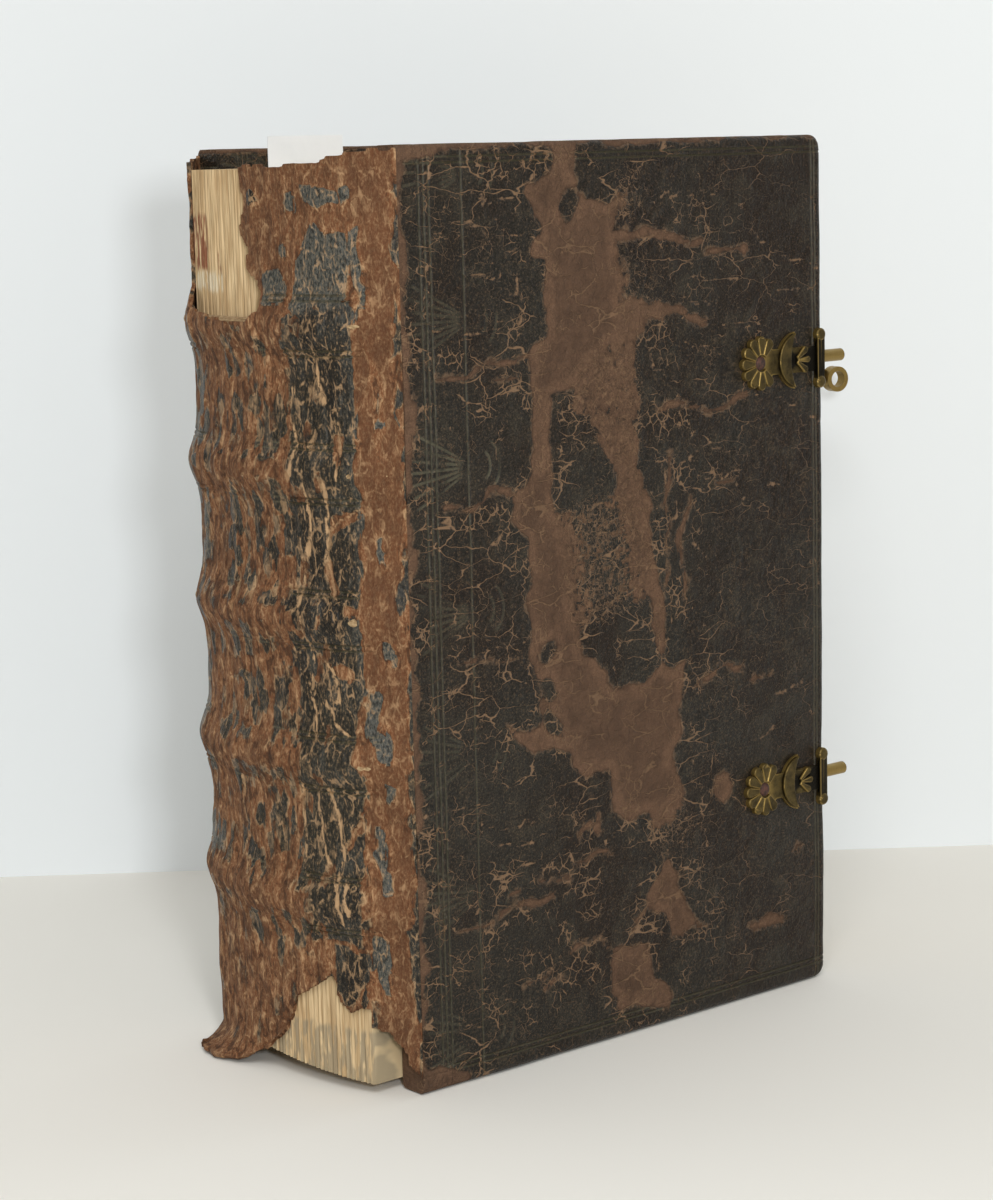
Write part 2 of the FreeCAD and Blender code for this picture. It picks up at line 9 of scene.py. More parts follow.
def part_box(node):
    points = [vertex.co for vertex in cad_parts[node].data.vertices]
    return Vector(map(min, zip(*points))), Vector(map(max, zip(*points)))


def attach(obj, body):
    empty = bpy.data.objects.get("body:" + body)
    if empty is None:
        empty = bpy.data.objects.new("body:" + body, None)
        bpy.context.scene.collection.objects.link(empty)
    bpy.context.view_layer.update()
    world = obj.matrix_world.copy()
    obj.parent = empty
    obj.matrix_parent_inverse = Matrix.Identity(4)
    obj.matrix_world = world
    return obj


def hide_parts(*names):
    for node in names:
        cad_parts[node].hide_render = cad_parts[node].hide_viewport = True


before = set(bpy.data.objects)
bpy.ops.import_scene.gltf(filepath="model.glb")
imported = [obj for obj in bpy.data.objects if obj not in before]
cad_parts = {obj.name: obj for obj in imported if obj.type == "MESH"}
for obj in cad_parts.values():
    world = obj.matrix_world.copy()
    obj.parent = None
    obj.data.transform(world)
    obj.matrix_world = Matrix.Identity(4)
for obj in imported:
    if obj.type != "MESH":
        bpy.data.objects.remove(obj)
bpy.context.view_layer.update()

bl_info = {
    "name": "Clasped leather book",
    "version": (1, 0, 0),
    "blender": (4, 5, 0),
    "location": "View3D > Sidebar > Book",
    "description": "Dresses the packed book with worn leather, sewn leaves, brass and paper",
    "category": "Add Mesh",
}

MM = 0.001


def rgb(red, green, blue):
    """A colour named by its screen values, as the shader wants it."""
    out = []
    for value in (red, green, blue):
        part = value / 255
        out.append(part / 12.92 if part <= 0.04045 else ((part + 0.055) / 1.055) ** 2.4)
    return (out[0], out[1], out[2], 1.0)


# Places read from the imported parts, in millimetres
cover_low, cover_high = (np.array(corner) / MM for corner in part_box("front_leather"))
back_low, back_high = (np.array(corner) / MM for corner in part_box("back_leather"))
block_low, block_high = (np.array(corner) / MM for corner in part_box("text_block"))
CORD_HEIGHTS = [
    float(np.mean([corner.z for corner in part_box("raised_cord_%d" % number)])) / MM for number in range(1, 6)
]
JOINT_X = cover_low[0] - 0.15
FRONT_Y = cover_low[1]
BACK_Y = back_high[1]
MIDDLE_Y = (FRONT_Y + BACK_Y) / 2
HALF_THICKNESS = (BACK_Y - FRONT_Y) / 2
BOARD_WIDTH = cover_high[0] - JOINT_X
BOARD_HEIGHT = cover_high[2]
HALF_BLOCK = (block_high[1] - block_low[1]) / 2
HEAD_Z = block_high[2]
SPINE_APEX = block_low[0] - JOINT_X
SHOULDER_X = -6.5
COVER_DEPTH = cover_high[1] - FRONT_Y
BLOCK_TAIL_FRONT = 2.0
BLOCK_TAIL_BACK = 6.2
GRAIN_COLOUR = rgb(35, 32, 26)
FIBRE_COLOUR = rgb(98, 73, 56)
FLAKE_SIZE = 2.1
# How far the tooled grooves reach to each side, and how far the other lines of the mesh keep from them
GROOVE_HALF = 0.32
GROOVE_CLEAR = 0.55
COVER_LEATHER = 0.45
SPINE_LEATHER = 0.8
SPINE_MESH_STEP = 0.62
# Dents in the fore edge of the covers: height and depth
RIM_DENTS = ((141.5, 0.55), (128.4, 0.35), (52.0, 0.6), (37.0, 0.35))
RIM_DENT_WIDTH = 2.6
# The camera that was fitted to the photo, in metres
CAMERA_PLACE = Vector((-0.39877, -0.43567, 0.17926))
CAMERA_RIGHT = Vector((0.7625, -0.6466, -0.0247)).normalized()
CAMERA_FORWARD = Vector((0.6354, 0.7554, -0.1602)).normalized()
WALL_DISTANCE = 0.692
WALL_TURN = 0.03
TABLE_DROP = 0.0002
WORLD_LIGHT = (1.0, 0.96, 0.9, 1)
WORLD_STRENGTH = 0.42


# Small helpers for edit mode and for placing vertices
def new_primitive(name, add, **sizes):
    bpy.ops.object.select_all(action="DESELECT")
    add(**sizes)
    piece = bpy.context.object
    piece.name = name
    piece.data.name = name
    return piece


def coordinates(piece):
    flat = np.empty(len(piece.data.vertices) * 3)
    piece.data.vertices.foreach_get("co", flat)
    return flat.reshape(-1, 3) / MM


def new_grid(name, columns, rows):
    """A flat grid, with the place of each point across it and along it from 0 to 1."""
    piece = new_primitive(
        name, bpy.ops.mesh.primitive_grid_add, x_subdivisions=columns, y_subdivisions=rows, size=1
    )
    co = coordinates(piece) * MM
    return piece, co[:, 0] + 0.5, co[:, 1] + 0.5


def line_grid(name, first, second):
    """A flat grid with the lines' own values at each of its points."""
    piece, a, b = new_grid(name, len(first) - 1, len(second) - 1)
    column = np.rint(a * (len(first) - 1)).astype(int)
    row = np.rint(b * (len(second) - 1)).astype(int)
    return piece, first[column], second[row]


def place(piece, points):
    piece.data.vertices.foreach_set("co", (np.asarray(points) * MM).ravel())
    piece.data.update()


def store(piece, **attributes):
    for name, values in attributes.items():
        layer = piece.data.attributes.new(name, "FLOAT", "POINT")
        layer.data.foreach_set("value", np.asarray(values, dtype=np.float32))


def smooth_step(low, high, values):
    t = np.clip((values - low) / (high - low), 0, 1)
    return t * t * (3 - 2 * t)


class Ripple:
    """Smooth value noise on a lattice, seeded, between -1 and 1."""

    def __init__(self, seed):
        self.table = np.random.default_rng(seed).uniform(-1, 1, (64, 64))

    def at(self, a, b):
        a0, b0 = np.floor(a).astype(int), np.floor(b).astype(int)
        fa, fb = a - a0, b - b0
        fa, fb = fa * fa * (3 - 2 * fa), fb * fb * (3 - 2 * fb)
        near = self.table[a0 % 64, b0 % 64] * (1 - fa) + self.table[(a0 + 1) % 64, b0 % 64] * fa
        far = self.table[a0 % 64, (b0 + 1) % 64] * (1 - fa) + self.table[(a0 + 1) % 64, (b0 + 1) % 64] * fa
        return near * (1 - fb) + far * fb

    def layers(self, a, b, size, count=3):
        total = np.zeros_like(a)
        weight = 1.0
        for step in range(count):
            total += weight * self.at(a / size + 7.3 * step, b / size + 3.1 * step)
            size /= 2
            weight /= 2
        return total


def segment_distance(points_a, points_b, start, end):
    """Distance to a straight line between two points, in millimetres."""
    (ax, ay), (bx, by) = start, end
    dx, dy = bx - ax, by - ay
    t = np.clip(((points_a - ax) * dx + (points_b - ay) * dy) / (dx * dx + dy * dy), 0, 1)
    return np.hypot(points_a - ax - t * dx, points_b - ay - t * dy)


def line_distance(points_a, points_b, line):
    """Distance to an open line in millimetres."""
    return np.min([segment_distance(points_a, points_b, a, b) for a, b in zip(line, line[1:])], 0)


def inside_depth(points_a, points_b, outline):
    """Distance to an outline in millimetres: positive inside, negative outside."""
    inside = np.zeros(points_a.shape, dtype=bool)
    closed = outline + outline[:1]
    for (ax, ay), (bx, by) in zip(closed, closed[1:]):
        crosses = (ay > points_b) != (by > points_b)
        if by != ay:
            inside ^= crosses & (points_a < ax + (points_b - ay) * (bx - ax) / (by - ay))
    distance = line_distance(points_a, points_b, closed)
    return np.where(inside, distance, -distance)


# Worn places of the front cover, in millimetres from the joint and from the tail
WORN_PATCHES = [
    [
        (38.3, 180), (38, 176), (37.4, 174.4), (34, 173), (31, 172), (30.2, 169.8), (32, 168.6), (33.8, 166),
        (34, 163.6), (31.8, 161), (31.4, 158.4), (34.2, 157.4), (34.6, 153), (33.4, 150.6), (35, 148.6),
        (35.2, 145), (34.4, 142), (31, 141), (30.6, 136), (31, 128), (31.2, 120), (30.4, 117), (27.6, 113.6),
        (25, 108.2), (28.8, 103), (29.4, 96), (29, 90), (29.8, 85), (28, 82), (30, 79.4), (31, 76),
        (31.6, 72),
        (31.2, 67.4), (27.4, 66.8), (22, 68.4), (26, 64.8), (32, 62), (37.6, 61.8), (39.6, 60.8),
        (39.4, 58.2),
        (41, 56.8), (44.4, 55.4), (49, 55.6), (50.2, 52), (50, 48), (52, 46), (55, 45.4), (60, 45.6),
        (63, 43.4),
        (66.4, 45), (69.4, 47), (69, 50), (67.4, 52), (67, 56), (69.4, 59), (69.6, 66), (70, 72), (70.4, 75),
        (67, 73.6), (65, 75.2), (64.4, 77), (61, 72.8), (54, 71.6), (51, 73), (46.4, 78.2), (43.2, 81),
        (41.6, 86),
        (40, 90), (40, 95), (39.4, 99), (38, 103), (37, 107), (36, 110.6), (35, 114), (35.6, 120),
        (36, 124.4),
        (35, 128), (36, 131.4), (38.4, 133), (41.4, 132.6), (44, 133.6), (47, 137.6), (51, 141), (58, 141.4),
        (60.4, 143.4), (59, 145), (54, 147), (53.4, 149.8), (55, 152.6), (54, 155), (54.4, 158.4),
        (53.6, 160.8),
        (52.6, 163.4), (53.2, 167), (50.4, 168.8), (45.4, 168.2), (43.6, 170.6), (42.4, 174), (43, 176.6),
        (43.6, 180),
    ],
    [
        (50, 122), (55.6, 121), (58.2, 116), (60.2, 112), (62, 109), (61, 105), (62.4, 101), (61.6, 96.4),
        (64.4, 92), (65, 88), (65.2, 82), (64.6, 76), (62.4, 79), (61, 83), (62, 88), (60, 92), (59, 98),
        (58, 104),
        (56, 109), (53.4, 112.4), (52, 117),
    ],
    [(64, 34.6), (62.4, 32.4), (60.4, 30), (59.6, 27), (60.6, 24.4), (63, 23.6), (65, 20), (66.4, 17.8),
     (69, 17.4),
     (72, 19.2), (77, 17.8), (73, 20.6), (71, 22.4), (70, 25), (68.4, 28), (68, 30.4), (66, 31.8),
     (65.2, 34)],
    [(49.6, 19.4), (48.4, 16), (48, 12), (50, 9), (50.2, 6.4), (53, 5.2), (58, 5.4), (62, 4), (65, 3.2),
     (66, 5.6),
     (64, 8.6), (61, 10.8), (60.4, 14), (59.4, 17.6), (56.4, 19), (52, 19.4)],
    [(79, 49.6), (83, 49.4), (84.2, 47), (83, 44), (81, 43), (79, 44.4), (77.8, 46.8)],
    [(87, 16.2), (90, 17.4), (92, 16.7), (95, 17.5), (97, 16.7), (100, 14.6), (98, 13.9), (92, 14.9),
     (89.4, 15.3)],
    [(101.4, 29.2), (103, 30.9), (105.4, 30.3), (103.6, 29.4)],
    [(-2, 7), (3, 5.2), (6, 4.4), (9, 3), (11, 2.4), (12, -2), (-2, -2)],
    [(-2, 140), (0.8, 137), (2.4, 132), (3.4, 127.6), (1, 126), (-2, 125)],
    [(-2, 109), (2.4, 106), (2.2, 103), (-2, 101)],
    [(-2, 57.4), (2, 55), (1.8, 52), (-2, 50.4)],
    [(-2, 44), (1.8, 42), (-2, 40)],
    [(-2, 29), (3, 26.4), (2, 24.6), (-2, 25)],
    [(-2, 181), (114, 181), (114, 179.5), (80, 179.3), (40, 179.1), (12, 178.7), (8, 177.6), (3, 177),
     (-2, 176.6)],
]
DARK_ISLANDS = [
    [(38.4, 167), (40, 169.8), (43, 170.4), (43.4, 168), (41.6, 164.4), (39.4, 163.8)],
    [(42.6, 82), (46, 84.4), (50, 87), (54, 89), (58, 85), (60, 82), (60.4, 79.6), (63, 78.2), (61.4, 74),
     (59, 71.8),
     (52, 71.8), (50, 75.6), (46, 78.8), (43, 81)],
    [(31, 76), (34, 76), (36.4, 73), (36, 71), (34.6, 70.6), (31.6, 74)],
    [(31.6, 69.8), (34.4, 70), (36.6, 67.2), (37.4, 65), (33.6, 64.8), (31.8, 67)],
    [(31, 82), (35, 83.2), (36, 80.6), (32, 80)],
    [(42, 55.6), (45, 56.2), (49, 55), (50.2, 52), (50, 47.6), (47.4, 47.4), (45, 51)],
]
WORN_STREAKS = [
    ([(52, 161.5), (57, 162), (63, 161.2), (70, 159.6), (77, 159.2)], 0.9),
    ([(78.6, 156.9), (84, 157.2), (89.6, 157.4)], 0.8),
    ([(54, 147), (62, 146.6), (70, 145.6), (77.4, 143.6)], 0.9),
    ([(8, 136.6), (14, 137), (20, 138.8), (24, 138.4), (30, 139)], 0.5),
    ([(22, 135.8), (28, 135.4)], 0.4),
    ([(65, 127), (70, 128.4), (74, 127), (78, 125.4), (84, 126.4), (89, 127.4)], 0.7),
    ([(8, 112.4), (16, 111.8), (21, 115.2), (25, 113), (27, 110)], 0.5),
    ([(12, 82.4), (17, 82.6), (24, 81.8), (29, 82)], 0.3),
    ([(80, 72.3), (85, 71.3), (88, 71.6)], 0.5),
    ([(74, 69), (78, 70.8)], 0.5),
    ([(90, 68.4), (95, 68.8)], 0.4),
    ([(80, 110.9), (85, 110.7)], 0.4),
    ([(72.4, 108.6), (71, 104), (69.6, 100), (70, 95), (71.4, 92), (71.2, 88)], 0.6),
    ([(67, 119), (67, 113), (65, 108), (67.4, 103), (66.4, 97), (66, 92)], 0.4),
    ([(55, 21), (56.4, 24), (59.4, 26)], 0.4),
    ([(37, 20.8), (41, 22.2), (46, 21.8), (49, 19.4)], 0.4),
    ([(40.4, 38.2), (44, 39.2), (50, 38.8)], 0.6),
    ([(20, 31.6), (26, 32.8), (33, 32.6)], 0.7),
    ([(8, 30.2), (20, 30.8)], 0.2),
    ([(30.4, 36.6), (34, 35.6), (38, 35.2)], 0.4),
    ([(22, 35.4), (25.6, 35.8)], 0.4),
    ([(24.6, 16.6), (29, 17), (33, 17.6)], 0.25),
    ([(31, 15), (34, 16.4), (37, 16.2)], 0.3),
    ([(41, 43), (44, 46), (46, 44), (46.4, 48)], 0.6),
]
FRONT_CRACKS = [
    [(60, 167), (64, 167.4), (67, 169.4), (72, 169.4)],
    [(72.6, 168.2), (75, 169), (79, 168.8), (84, 167.8)],
    [(91, 160.4), (94, 158.2), (97, 157.4), (100, 155), (105, 153.6), (110, 153.4)],
    [(71, 152), (75, 152.8), (80, 151.4), (87, 151.8)],
    [(71, 148.4), (76, 146.6), (82, 147)],
    [(84, 143.4), (90, 143), (95, 141.4)],
    [(98, 148.8), (104, 148.2), (109, 148.6)],
    [(62, 140), (68, 140.4), (73, 140), (77, 138), (84, 136)],
    [(62, 138.6), (63, 134.6), (66.6, 133)],
    [(66, 140), (67.2, 136), (66, 132.6)],
    [(88, 127.6), (94, 128), (98, 126.6), (104, 123.6), (111, 120.8)],
    [(13, 170.8), (18, 170.4), (22, 169)],
    [(17, 172.4), (20, 168), (25, 164.4), (30, 161.8)],
    [(20, 170.4), (25, 168.4), (31, 169.6)],
    [(12, 165.8), (17, 165.6), (21, 162.6)],
    [(8, 163.6), (12, 162), (15, 160.4)],
    [(20, 162), (26, 160), (30, 160.4)],
    [(21, 158.4), (25, 153.6), (28, 151.4)],
    [(15, 155.4), (20, 154.8), (25, 152.6), (27, 151.8)],
    [(27.4, 156), (29.8, 150), (28.6, 145.6)],
    [(21, 146), (25, 142), (29, 139.8)],
    [(8, 146), (14, 144.4), (20, 143.6)],
    [(21, 147), (27, 146.4), (31, 146.8)],
    [(4, 129.6), (8, 129.2), (12, 125.8), (16, 124)],
    [(21.6, 124.6), (22.2, 119.6)],
    [(26, 113.8), (26.8, 116), (28.6, 118.4)],
    [(20.6, 104.4), (23, 106.8), (26, 107.2)],
    [(69, 113.6), (71, 115.4), (75.6, 115.2)],
    [(72, 115.6), (76, 118), (79, 118.6), (82, 117.8), (84.4, 116.2)],
    [(75, 112.4), (80, 111.6), (86, 112.6), (90, 111), (94, 109), (99.6, 107.8)],
    [(85.6, 110.4), (89, 106.6)],
    [(70, 99.4), (74, 98.8), (77.6, 96.4)],
    [(64.4, 116.6), (66, 113), (65, 109), (66.6, 105)],
    [(66, 103), (69, 105), (68.2, 108.4)],
    [(66.6, 100.6), (66.2, 91.6)],
    [(71, 93), (72, 88), (73.6, 85), (76, 81.6), (81, 80)],
    [(64, 94.4), (66, 90), (67, 86), (68.4, 81.6)],
    [(20, 84.8), (24, 84.4), (29, 85)],
    [(10, 78), (13, 77.2)],
    [(18, 74.4), (22.6, 73.2)],
    [(25, 78), (28.4, 75.4)],
    [(8, 69.4), (14, 68.4), (17, 69.6)],
    [(88, 56), (95, 56.4), (98, 58.6)],
    [(98, 64.8), (103, 64.2), (107, 65.6)],
    [(97, 64.4), (101, 64.2), (105, 65.6)],
    [(2, 54.6), (8, 54.4), (12, 55), (14.6, 54)],
    [(15, 54), (16, 50.4), (20, 48.8), (27, 49.2), (30, 48)],
    [(20, 45.8), (30, 44.8)],
    [(21, 41.8), (25, 40.4), (29, 41)],
    [(62, 44), (61.6, 39), (64, 37), (66, 34)],
    [(67, 41.8), (70, 39.2), (74.6, 40.4)],
    [(77.6, 32.2), (81, 31.2)],
    [(71.6, 23.4), (76, 24), (81, 22.8)],
    [(75, 18.8), (79, 17.4), (83, 15.8)],
    [(3.4, 22.8), (9, 22), (10.6, 20.6)],
    [(10, 12.4), (14.4, 10.4)],
    [(20, 14.4), (24.6, 13)],
    [(62, 21), (63.4, 15.4), (61.6, 11.6)],
    [(37, 98), (44, 99.8), (52, 96), (58, 99)],
    [(43, 86), (48, 87), (52, 89.4), (57, 93)],
    [(44, 108), (49, 109), (55, 106), (61, 107)],
    [(47, 104), (52, 102.4), (60, 104)],
    [(46, 122), (50, 121), (56, 119), (59, 113)],
]
CRACKLED_AREAS = [
    ([(46, 140), (59, 141), (59.6, 133), (60.4, 129), (59, 124), (58, 118), (52, 116), (50, 120), (44, 126),
      (40.6, 129.4), (43.6, 133), (46, 136)], 1.0),
    ([(37, 110), (44, 110), (52, 112), (58, 118), (62, 108), (62, 96), (60, 88), (50, 86), (41, 84), (40, 95),
      (37, 104)], 0.7),
    ([(60, 46), (69, 46), (76, 39), (70, 35), (62, 36)], 0.5),
    ([(53, 175), (59, 175), (60, 168), (57, 164), (53, 165), (53, 170)], 0.6),
    ([(54, 159), (60, 159), (68, 146), (60, 141), (54, 147)], 0.35),
]
FILLET_DEPTH = 0.2
# Relief of the covers' leather: long waves, short ones, the dark layer over the fibres, cracks, and
# how far the whole face lies under the CAD face to leave room for them
WAVE_RISE = 0.16
RIPPLE_RISE = 0.05
GRAIN_LAYER_RISE = 0.16
CRACK_DEPTH = 0.12
FACE_SINK = 0.24
FRONT_FILLETS_X = (4.9, 6.1, 7.3, 15.0, 108.7, 109.6)
FRONT_FILLETS_Z = (176.4, 177.5, 3.4, 4.5)
FAN_TIP_X = JOINT_X + 17.0
FAN_RIB_ANGLE = 0.15
FAN_ARCS = (3.4, 5.8)


def sheet_lines(low, high, step, grooves):
    """Grid lines at an even step, with three close lines at each tooled groove."""
    keep = [
        value for value in np.arange(low, high, step)
        if all(abs(value - groove) > GROOVE_CLEAR for groove in grooves)
    ]
    for groove in grooves:
        keep += [groove - GROOVE_HALF, groove, groove + GROOVE_HALF]
    return np.array(sorted(keep + [high]))


def groove_depth(values, grooves):
    depth = np.zeros_like(values)
    for groove in grooves:
        depth = np.maximum(depth, np.clip(1 - np.abs(values - groove) / GROOVE_HALF, 0, 1))
    return depth


def cover_sheet(name, settings):
    """The leather of one cover as one sheet, from the outer face round the edges to the turn-ins."""
    inset = settings.edge_round / MM
    corner = settings.corner_round / MM
    left = 0.06
    xs = sheet_lines(left, BOARD_WIDTH - inset, settings.mesh_step / MM, FRONT_FILLETS_X)
    zs = sheet_lines(inset, BOARD_HEIGHT - inset, settings.mesh_step / MM, FRONT_FILLETS_Z)
    piece, x, z = line_grid(name, xs, zs)
    points = np.stack([x, np.zeros_like(x), z], 1)
    place(piece, round_corners(points, inset, corner))
    profile = [(inset * math.sin(a), inset * (1 - math.cos(a))) for a in np.radians((22.5, 45, 67.5, 90))]
    profile += [(inset, COVER_DEPTH * share) for share in (0.4, 0.6, 0.8)]
    profile += [(inset - back, COVER_DEPTH - up) for back, up in ((0.12, 0.35), (0.4, 0.08), (0.9, 0))]
    bpy.ops.object.mode_set(mode="EDIT")
    bpy.ops.mesh.select_mode(type="EDGE")
    bpy.ops.mesh.select_all(action="SELECT")
    bpy.ops.mesh.region_to_loop()
    for out, down in profile:
        bpy.ops.mesh.extrude_region_move()
        move_rim(piece, inset, corner, out, down)
    for share in (0.35, 0.7, 1.0):
        bpy.ops.mesh.extrude_region_move()
        move_turn_in(piece, settings.turn_in / MM, share)
    bpy.ops.object.mode_set(mode="OBJECT")
    return piece


def round_corners(points, inset, corner):
    """Bends the sheet's two fore-edge corners from square to round."""
    centre_x = BOARD_WIDTH - corner
    for centre_z, side in ((corner, -1), (BOARD_HEIGHT - corner, 1)):
        a = points[:, 0] - centre_x
        b = (points[:, 2] - centre_z) * side
        hit = (a > 0) & (b > 0)
        length = np.hypot(a[hit], b[hit])
        scale = np.maximum(a[hit], b[hit]) / np.maximum(length, 1e-9)
        points[hit, 0] = centre_x + a[hit] * scale
        points[hit, 2] = centre_z + b[hit] * scale * side
    return points


def rim_direction(x, z, inset, corner):
    """Which way the edge faces at a point of the outline: out of the head, tail or fore edge, or a corner."""
    centre_x = BOARD_WIDTH - corner
    near_z = corner if z < BOARD_HEIGHT / 2 else BOARD_HEIGHT - corner
    side = -1 if z < BOARD_HEIGHT / 2 else 1
    in_fore = x > centre_x + 1e-6
    in_end = (z - near_z) * side > 1e-6
    if in_fore and in_end:
        direction = Vector((x - centre_x, z - near_z))
        return direction.normalized()
    if x > BOARD_WIDTH - inset - 1e-3:
        return Vector((1, 0))
    if in_end:
        return Vector((0, side))
    return Vector((0, 0))


def move_rim(piece, inset, corner, out, down):
    mesh = bmesh.from_edit_mesh(piece.data)
    base = mesh.verts.layers.float_vector.get("rim_start")
    if base is None:
        base = mesh.verts.layers.float_vector.new("rim_start")
        mesh.verts.ensure_lookup_table()
        for vertex in mesh.verts:
            vertex[base] = vertex.co
    for vertex in mesh.verts:
        if vertex.select:
            start = vertex[base] / MM
            direction = rim_direction(start.x, start.z, inset, corner)
            vertex.co = Vector((start.x + direction.x * out, down, start.z + direction.y * out)) * MM
    bmesh.update_edit_mesh(piece.data)


def move_turn_in(piece, width, share):
    mesh = bmesh.from_edit_mesh(piece.data)
    base = mesh.verts.layers.float_vector.get("rim_start")
    for vertex in mesh.verts:
        if vertex.select:
            start = vertex[base] / MM
            end_x = min(max(start.x, 3.8), BOARD_WIDTH - width)
            end_z = min(max(start.z, width), BOARD_HEIGHT - width)
            edge_x = min(start.x + 0.6, BOARD_WIDTH) if start.x > 1 else start.x
            x = edge_x + (end_x - edge_x) * share
            z = start.z + (end_z - start.z) * share
            vertex.co = Vector((x, COVER_DEPTH, z)) * MM
    bmesh.update_edit_mesh(piece.data)


def pick(piece):
    bpy.ops.object.select_all(action="DESELECT")
    piece.select_set(True)
    bpy.context.view_layer.objects.active = piece


def face_outward(piece):
    pick(piece)
    bpy.ops.object.mode_set(mode="EDIT")
    bpy.ops.mesh.select_all(action="SELECT")
    bpy.ops.mesh.normals_make_consistent(inside=False)
    bpy.ops.object.mode_set(mode="OBJECT")


def shade(piece, degrees):
    pick(piece)
    bpy.ops.object.shade_smooth_by_angle(angle=math.radians(degrees))


def finish_sheet(piece, thickness):
    """Gives a sheet of leather its thickness and smooth shading."""
    face_outward(piece)
    modifier = piece.modifiers.new("Thickness", "SOLIDIFY")
    modifier.thickness = thickness * MM
    modifier.offset = -1
    modifier.use_rim = True
    modifier.use_even_offset = False
    pick(piece)
    bpy.ops.object.modifier_apply(modifier=modifier.name)
    face_outward(piece)
    shade(piece, 60)


def front_wear(x, z):
    """How far a point lies inside a worn place, in millimetres, and how crackled it is."""
    warp = Ripple(5)
    wx = x + 0.9 * warp.layers(x, z, 4.0)
    wz = z + 0.9 * warp.layers(x + 90, z, 4.0)
    wear = np.full(x.shape, -9.0)
    for outline in WORN_PATCHES:
        wear = np.maximum(wear, inside_depth(wx, wz, outline))
    for outline in DARK_ISLANDS:
        wear = np.minimum(wear, -inside_depth(wx, wz, outline))
    for line, half in WORN_STREAKS:
        wear = np.maximum(wear, half - line_distance(wx, wz, line))
    crack = np.full(x.shape, 9.0)
    for line in FRONT_CRACKS:
        crack = np.minimum(crack, line_distance(wx, wz, line))
    crackle = np.zeros(x.shape)
    for outline, strength in CRACKLED_AREAS:
        crackle = np.maximum(crackle, strength * smooth_step(-1.5, 2.0, inside_depth(wx, wz, outline)))
    serrated = 0.9 + 1.5 * warp.at(z / 4.1, x * 0 + 3.3) + 0.7 * warp.at(z / 1.3, x * 0 + 8.1)
    wear = np.maximum(wear, serrated - x)
    hair = (0.2 + 0.8 * smooth_step(-15, -1, wear)) * np.interp(x, [70, 84], [1, 0.5])
    return np.clip(wear, -6, 6), np.clip(crack, 0, 6), crackle, hair


def back_wear(x, z):
    """The far side is worn in the same way, in a few plain places of its own."""
    noise = Ripple(23)
    patch = noise.layers(x, z * 0.6, 34.0, 4)
    wear = (patch - 0.62) * 7
    edge = np.minimum(np.minimum(z, BOARD_HEIGHT - z), BOARD_WIDTH - x)
    wear = np.maximum(wear, 0.9 - edge)
    crack = np.abs(noise.layers(x + 40, z, 15.0, 2)) * 12
    hair = 0.25 + 0.75 * smooth_step(-3, 0, wear)
    return np.clip(wear, -6, 6), np.clip(crack, 0, 6), np.zeros(x.shape), hair


def dress_cover(piece, side, wear_at, grooved):
    """Gives the sheet its relief, then its thickness, and sets it on the front (-1) or the back (1)."""
    co = coordinates(piece)
    x, y, z = co[:, 0].copy(), co[:, 1].copy(), co[:, 2].copy()
    wear, crack, crackle, hair = wear_at(x, z)
    tooled = np.maximum(groove_depth(x, FRONT_FILLETS_X), groove_depth(z, FRONT_FILLETS_Z)) * grooved
    store(piece, wear=wear, crack=crack, crackle=crackle, hair=hair, tool=tooled)
    noise = Ripple(11 if side < 0 else 12)
    on_face = 1 - smooth_step(0.2, 1.4, y)
    waves = WAVE_RISE * noise.layers(x, z, 26.0) + RIPPLE_RISE * noise.layers(x * 0.6, z * 1.6, 5.0)
    layer = GRAIN_LAYER_RISE * smooth_step(-0.9, 0.6, -wear)
    creases = CRACK_DEPTH * np.clip(1 - crack / 0.9, 0, 1)
    grooves = FILLET_DEPTH * tooled * smooth_step(0.2, -0.8, wear)
    sink = FACE_SINK - waves - layer + creases + grooves
    co[:, 1] = y + sink * on_face
    rim = smooth_step(0.4, 1.6, y)
    fore = smooth_step(BOARD_WIDTH - 1.2, BOARD_WIDTH - 0.2, x)
    dents = np.zeros_like(z)
    for height, depth in RIM_DENTS:
        dents += depth * np.exp(-((z - height) / RIM_DENT_WIDTH) ** 2)
    co[:, 0] -= fore * (rim * 0.5 + 0.5) * (dents + 0.12 + 0.12 * noise.layers(z, z * 0, 9.0))
    flat_rim = rim * (1 - fore)
    toward_end = np.where(z > BOARD_HEIGHT / 2, 1, -1)
    at_end = smooth_step(1.2, 0.2, np.minimum(z, BOARD_HEIGHT - z))
    co[:, 2] -= toward_end * flat_rim * at_end * (0.1 + 0.1 * np.abs(noise.layers(x, x * 0, 7.0)))
    co[:, 2] = np.clip(co[:, 2], 0.02, BOARD_HEIGHT)
    if side < 0:
        co += (JOINT_X, FRONT_Y, 0)
    else:
        co[:, 1] = BACK_Y - co[:, 1]
        co[:, 0] += JOINT_X
    place(piece, co)
    finish_sheet(piece, COVER_LEATHER)


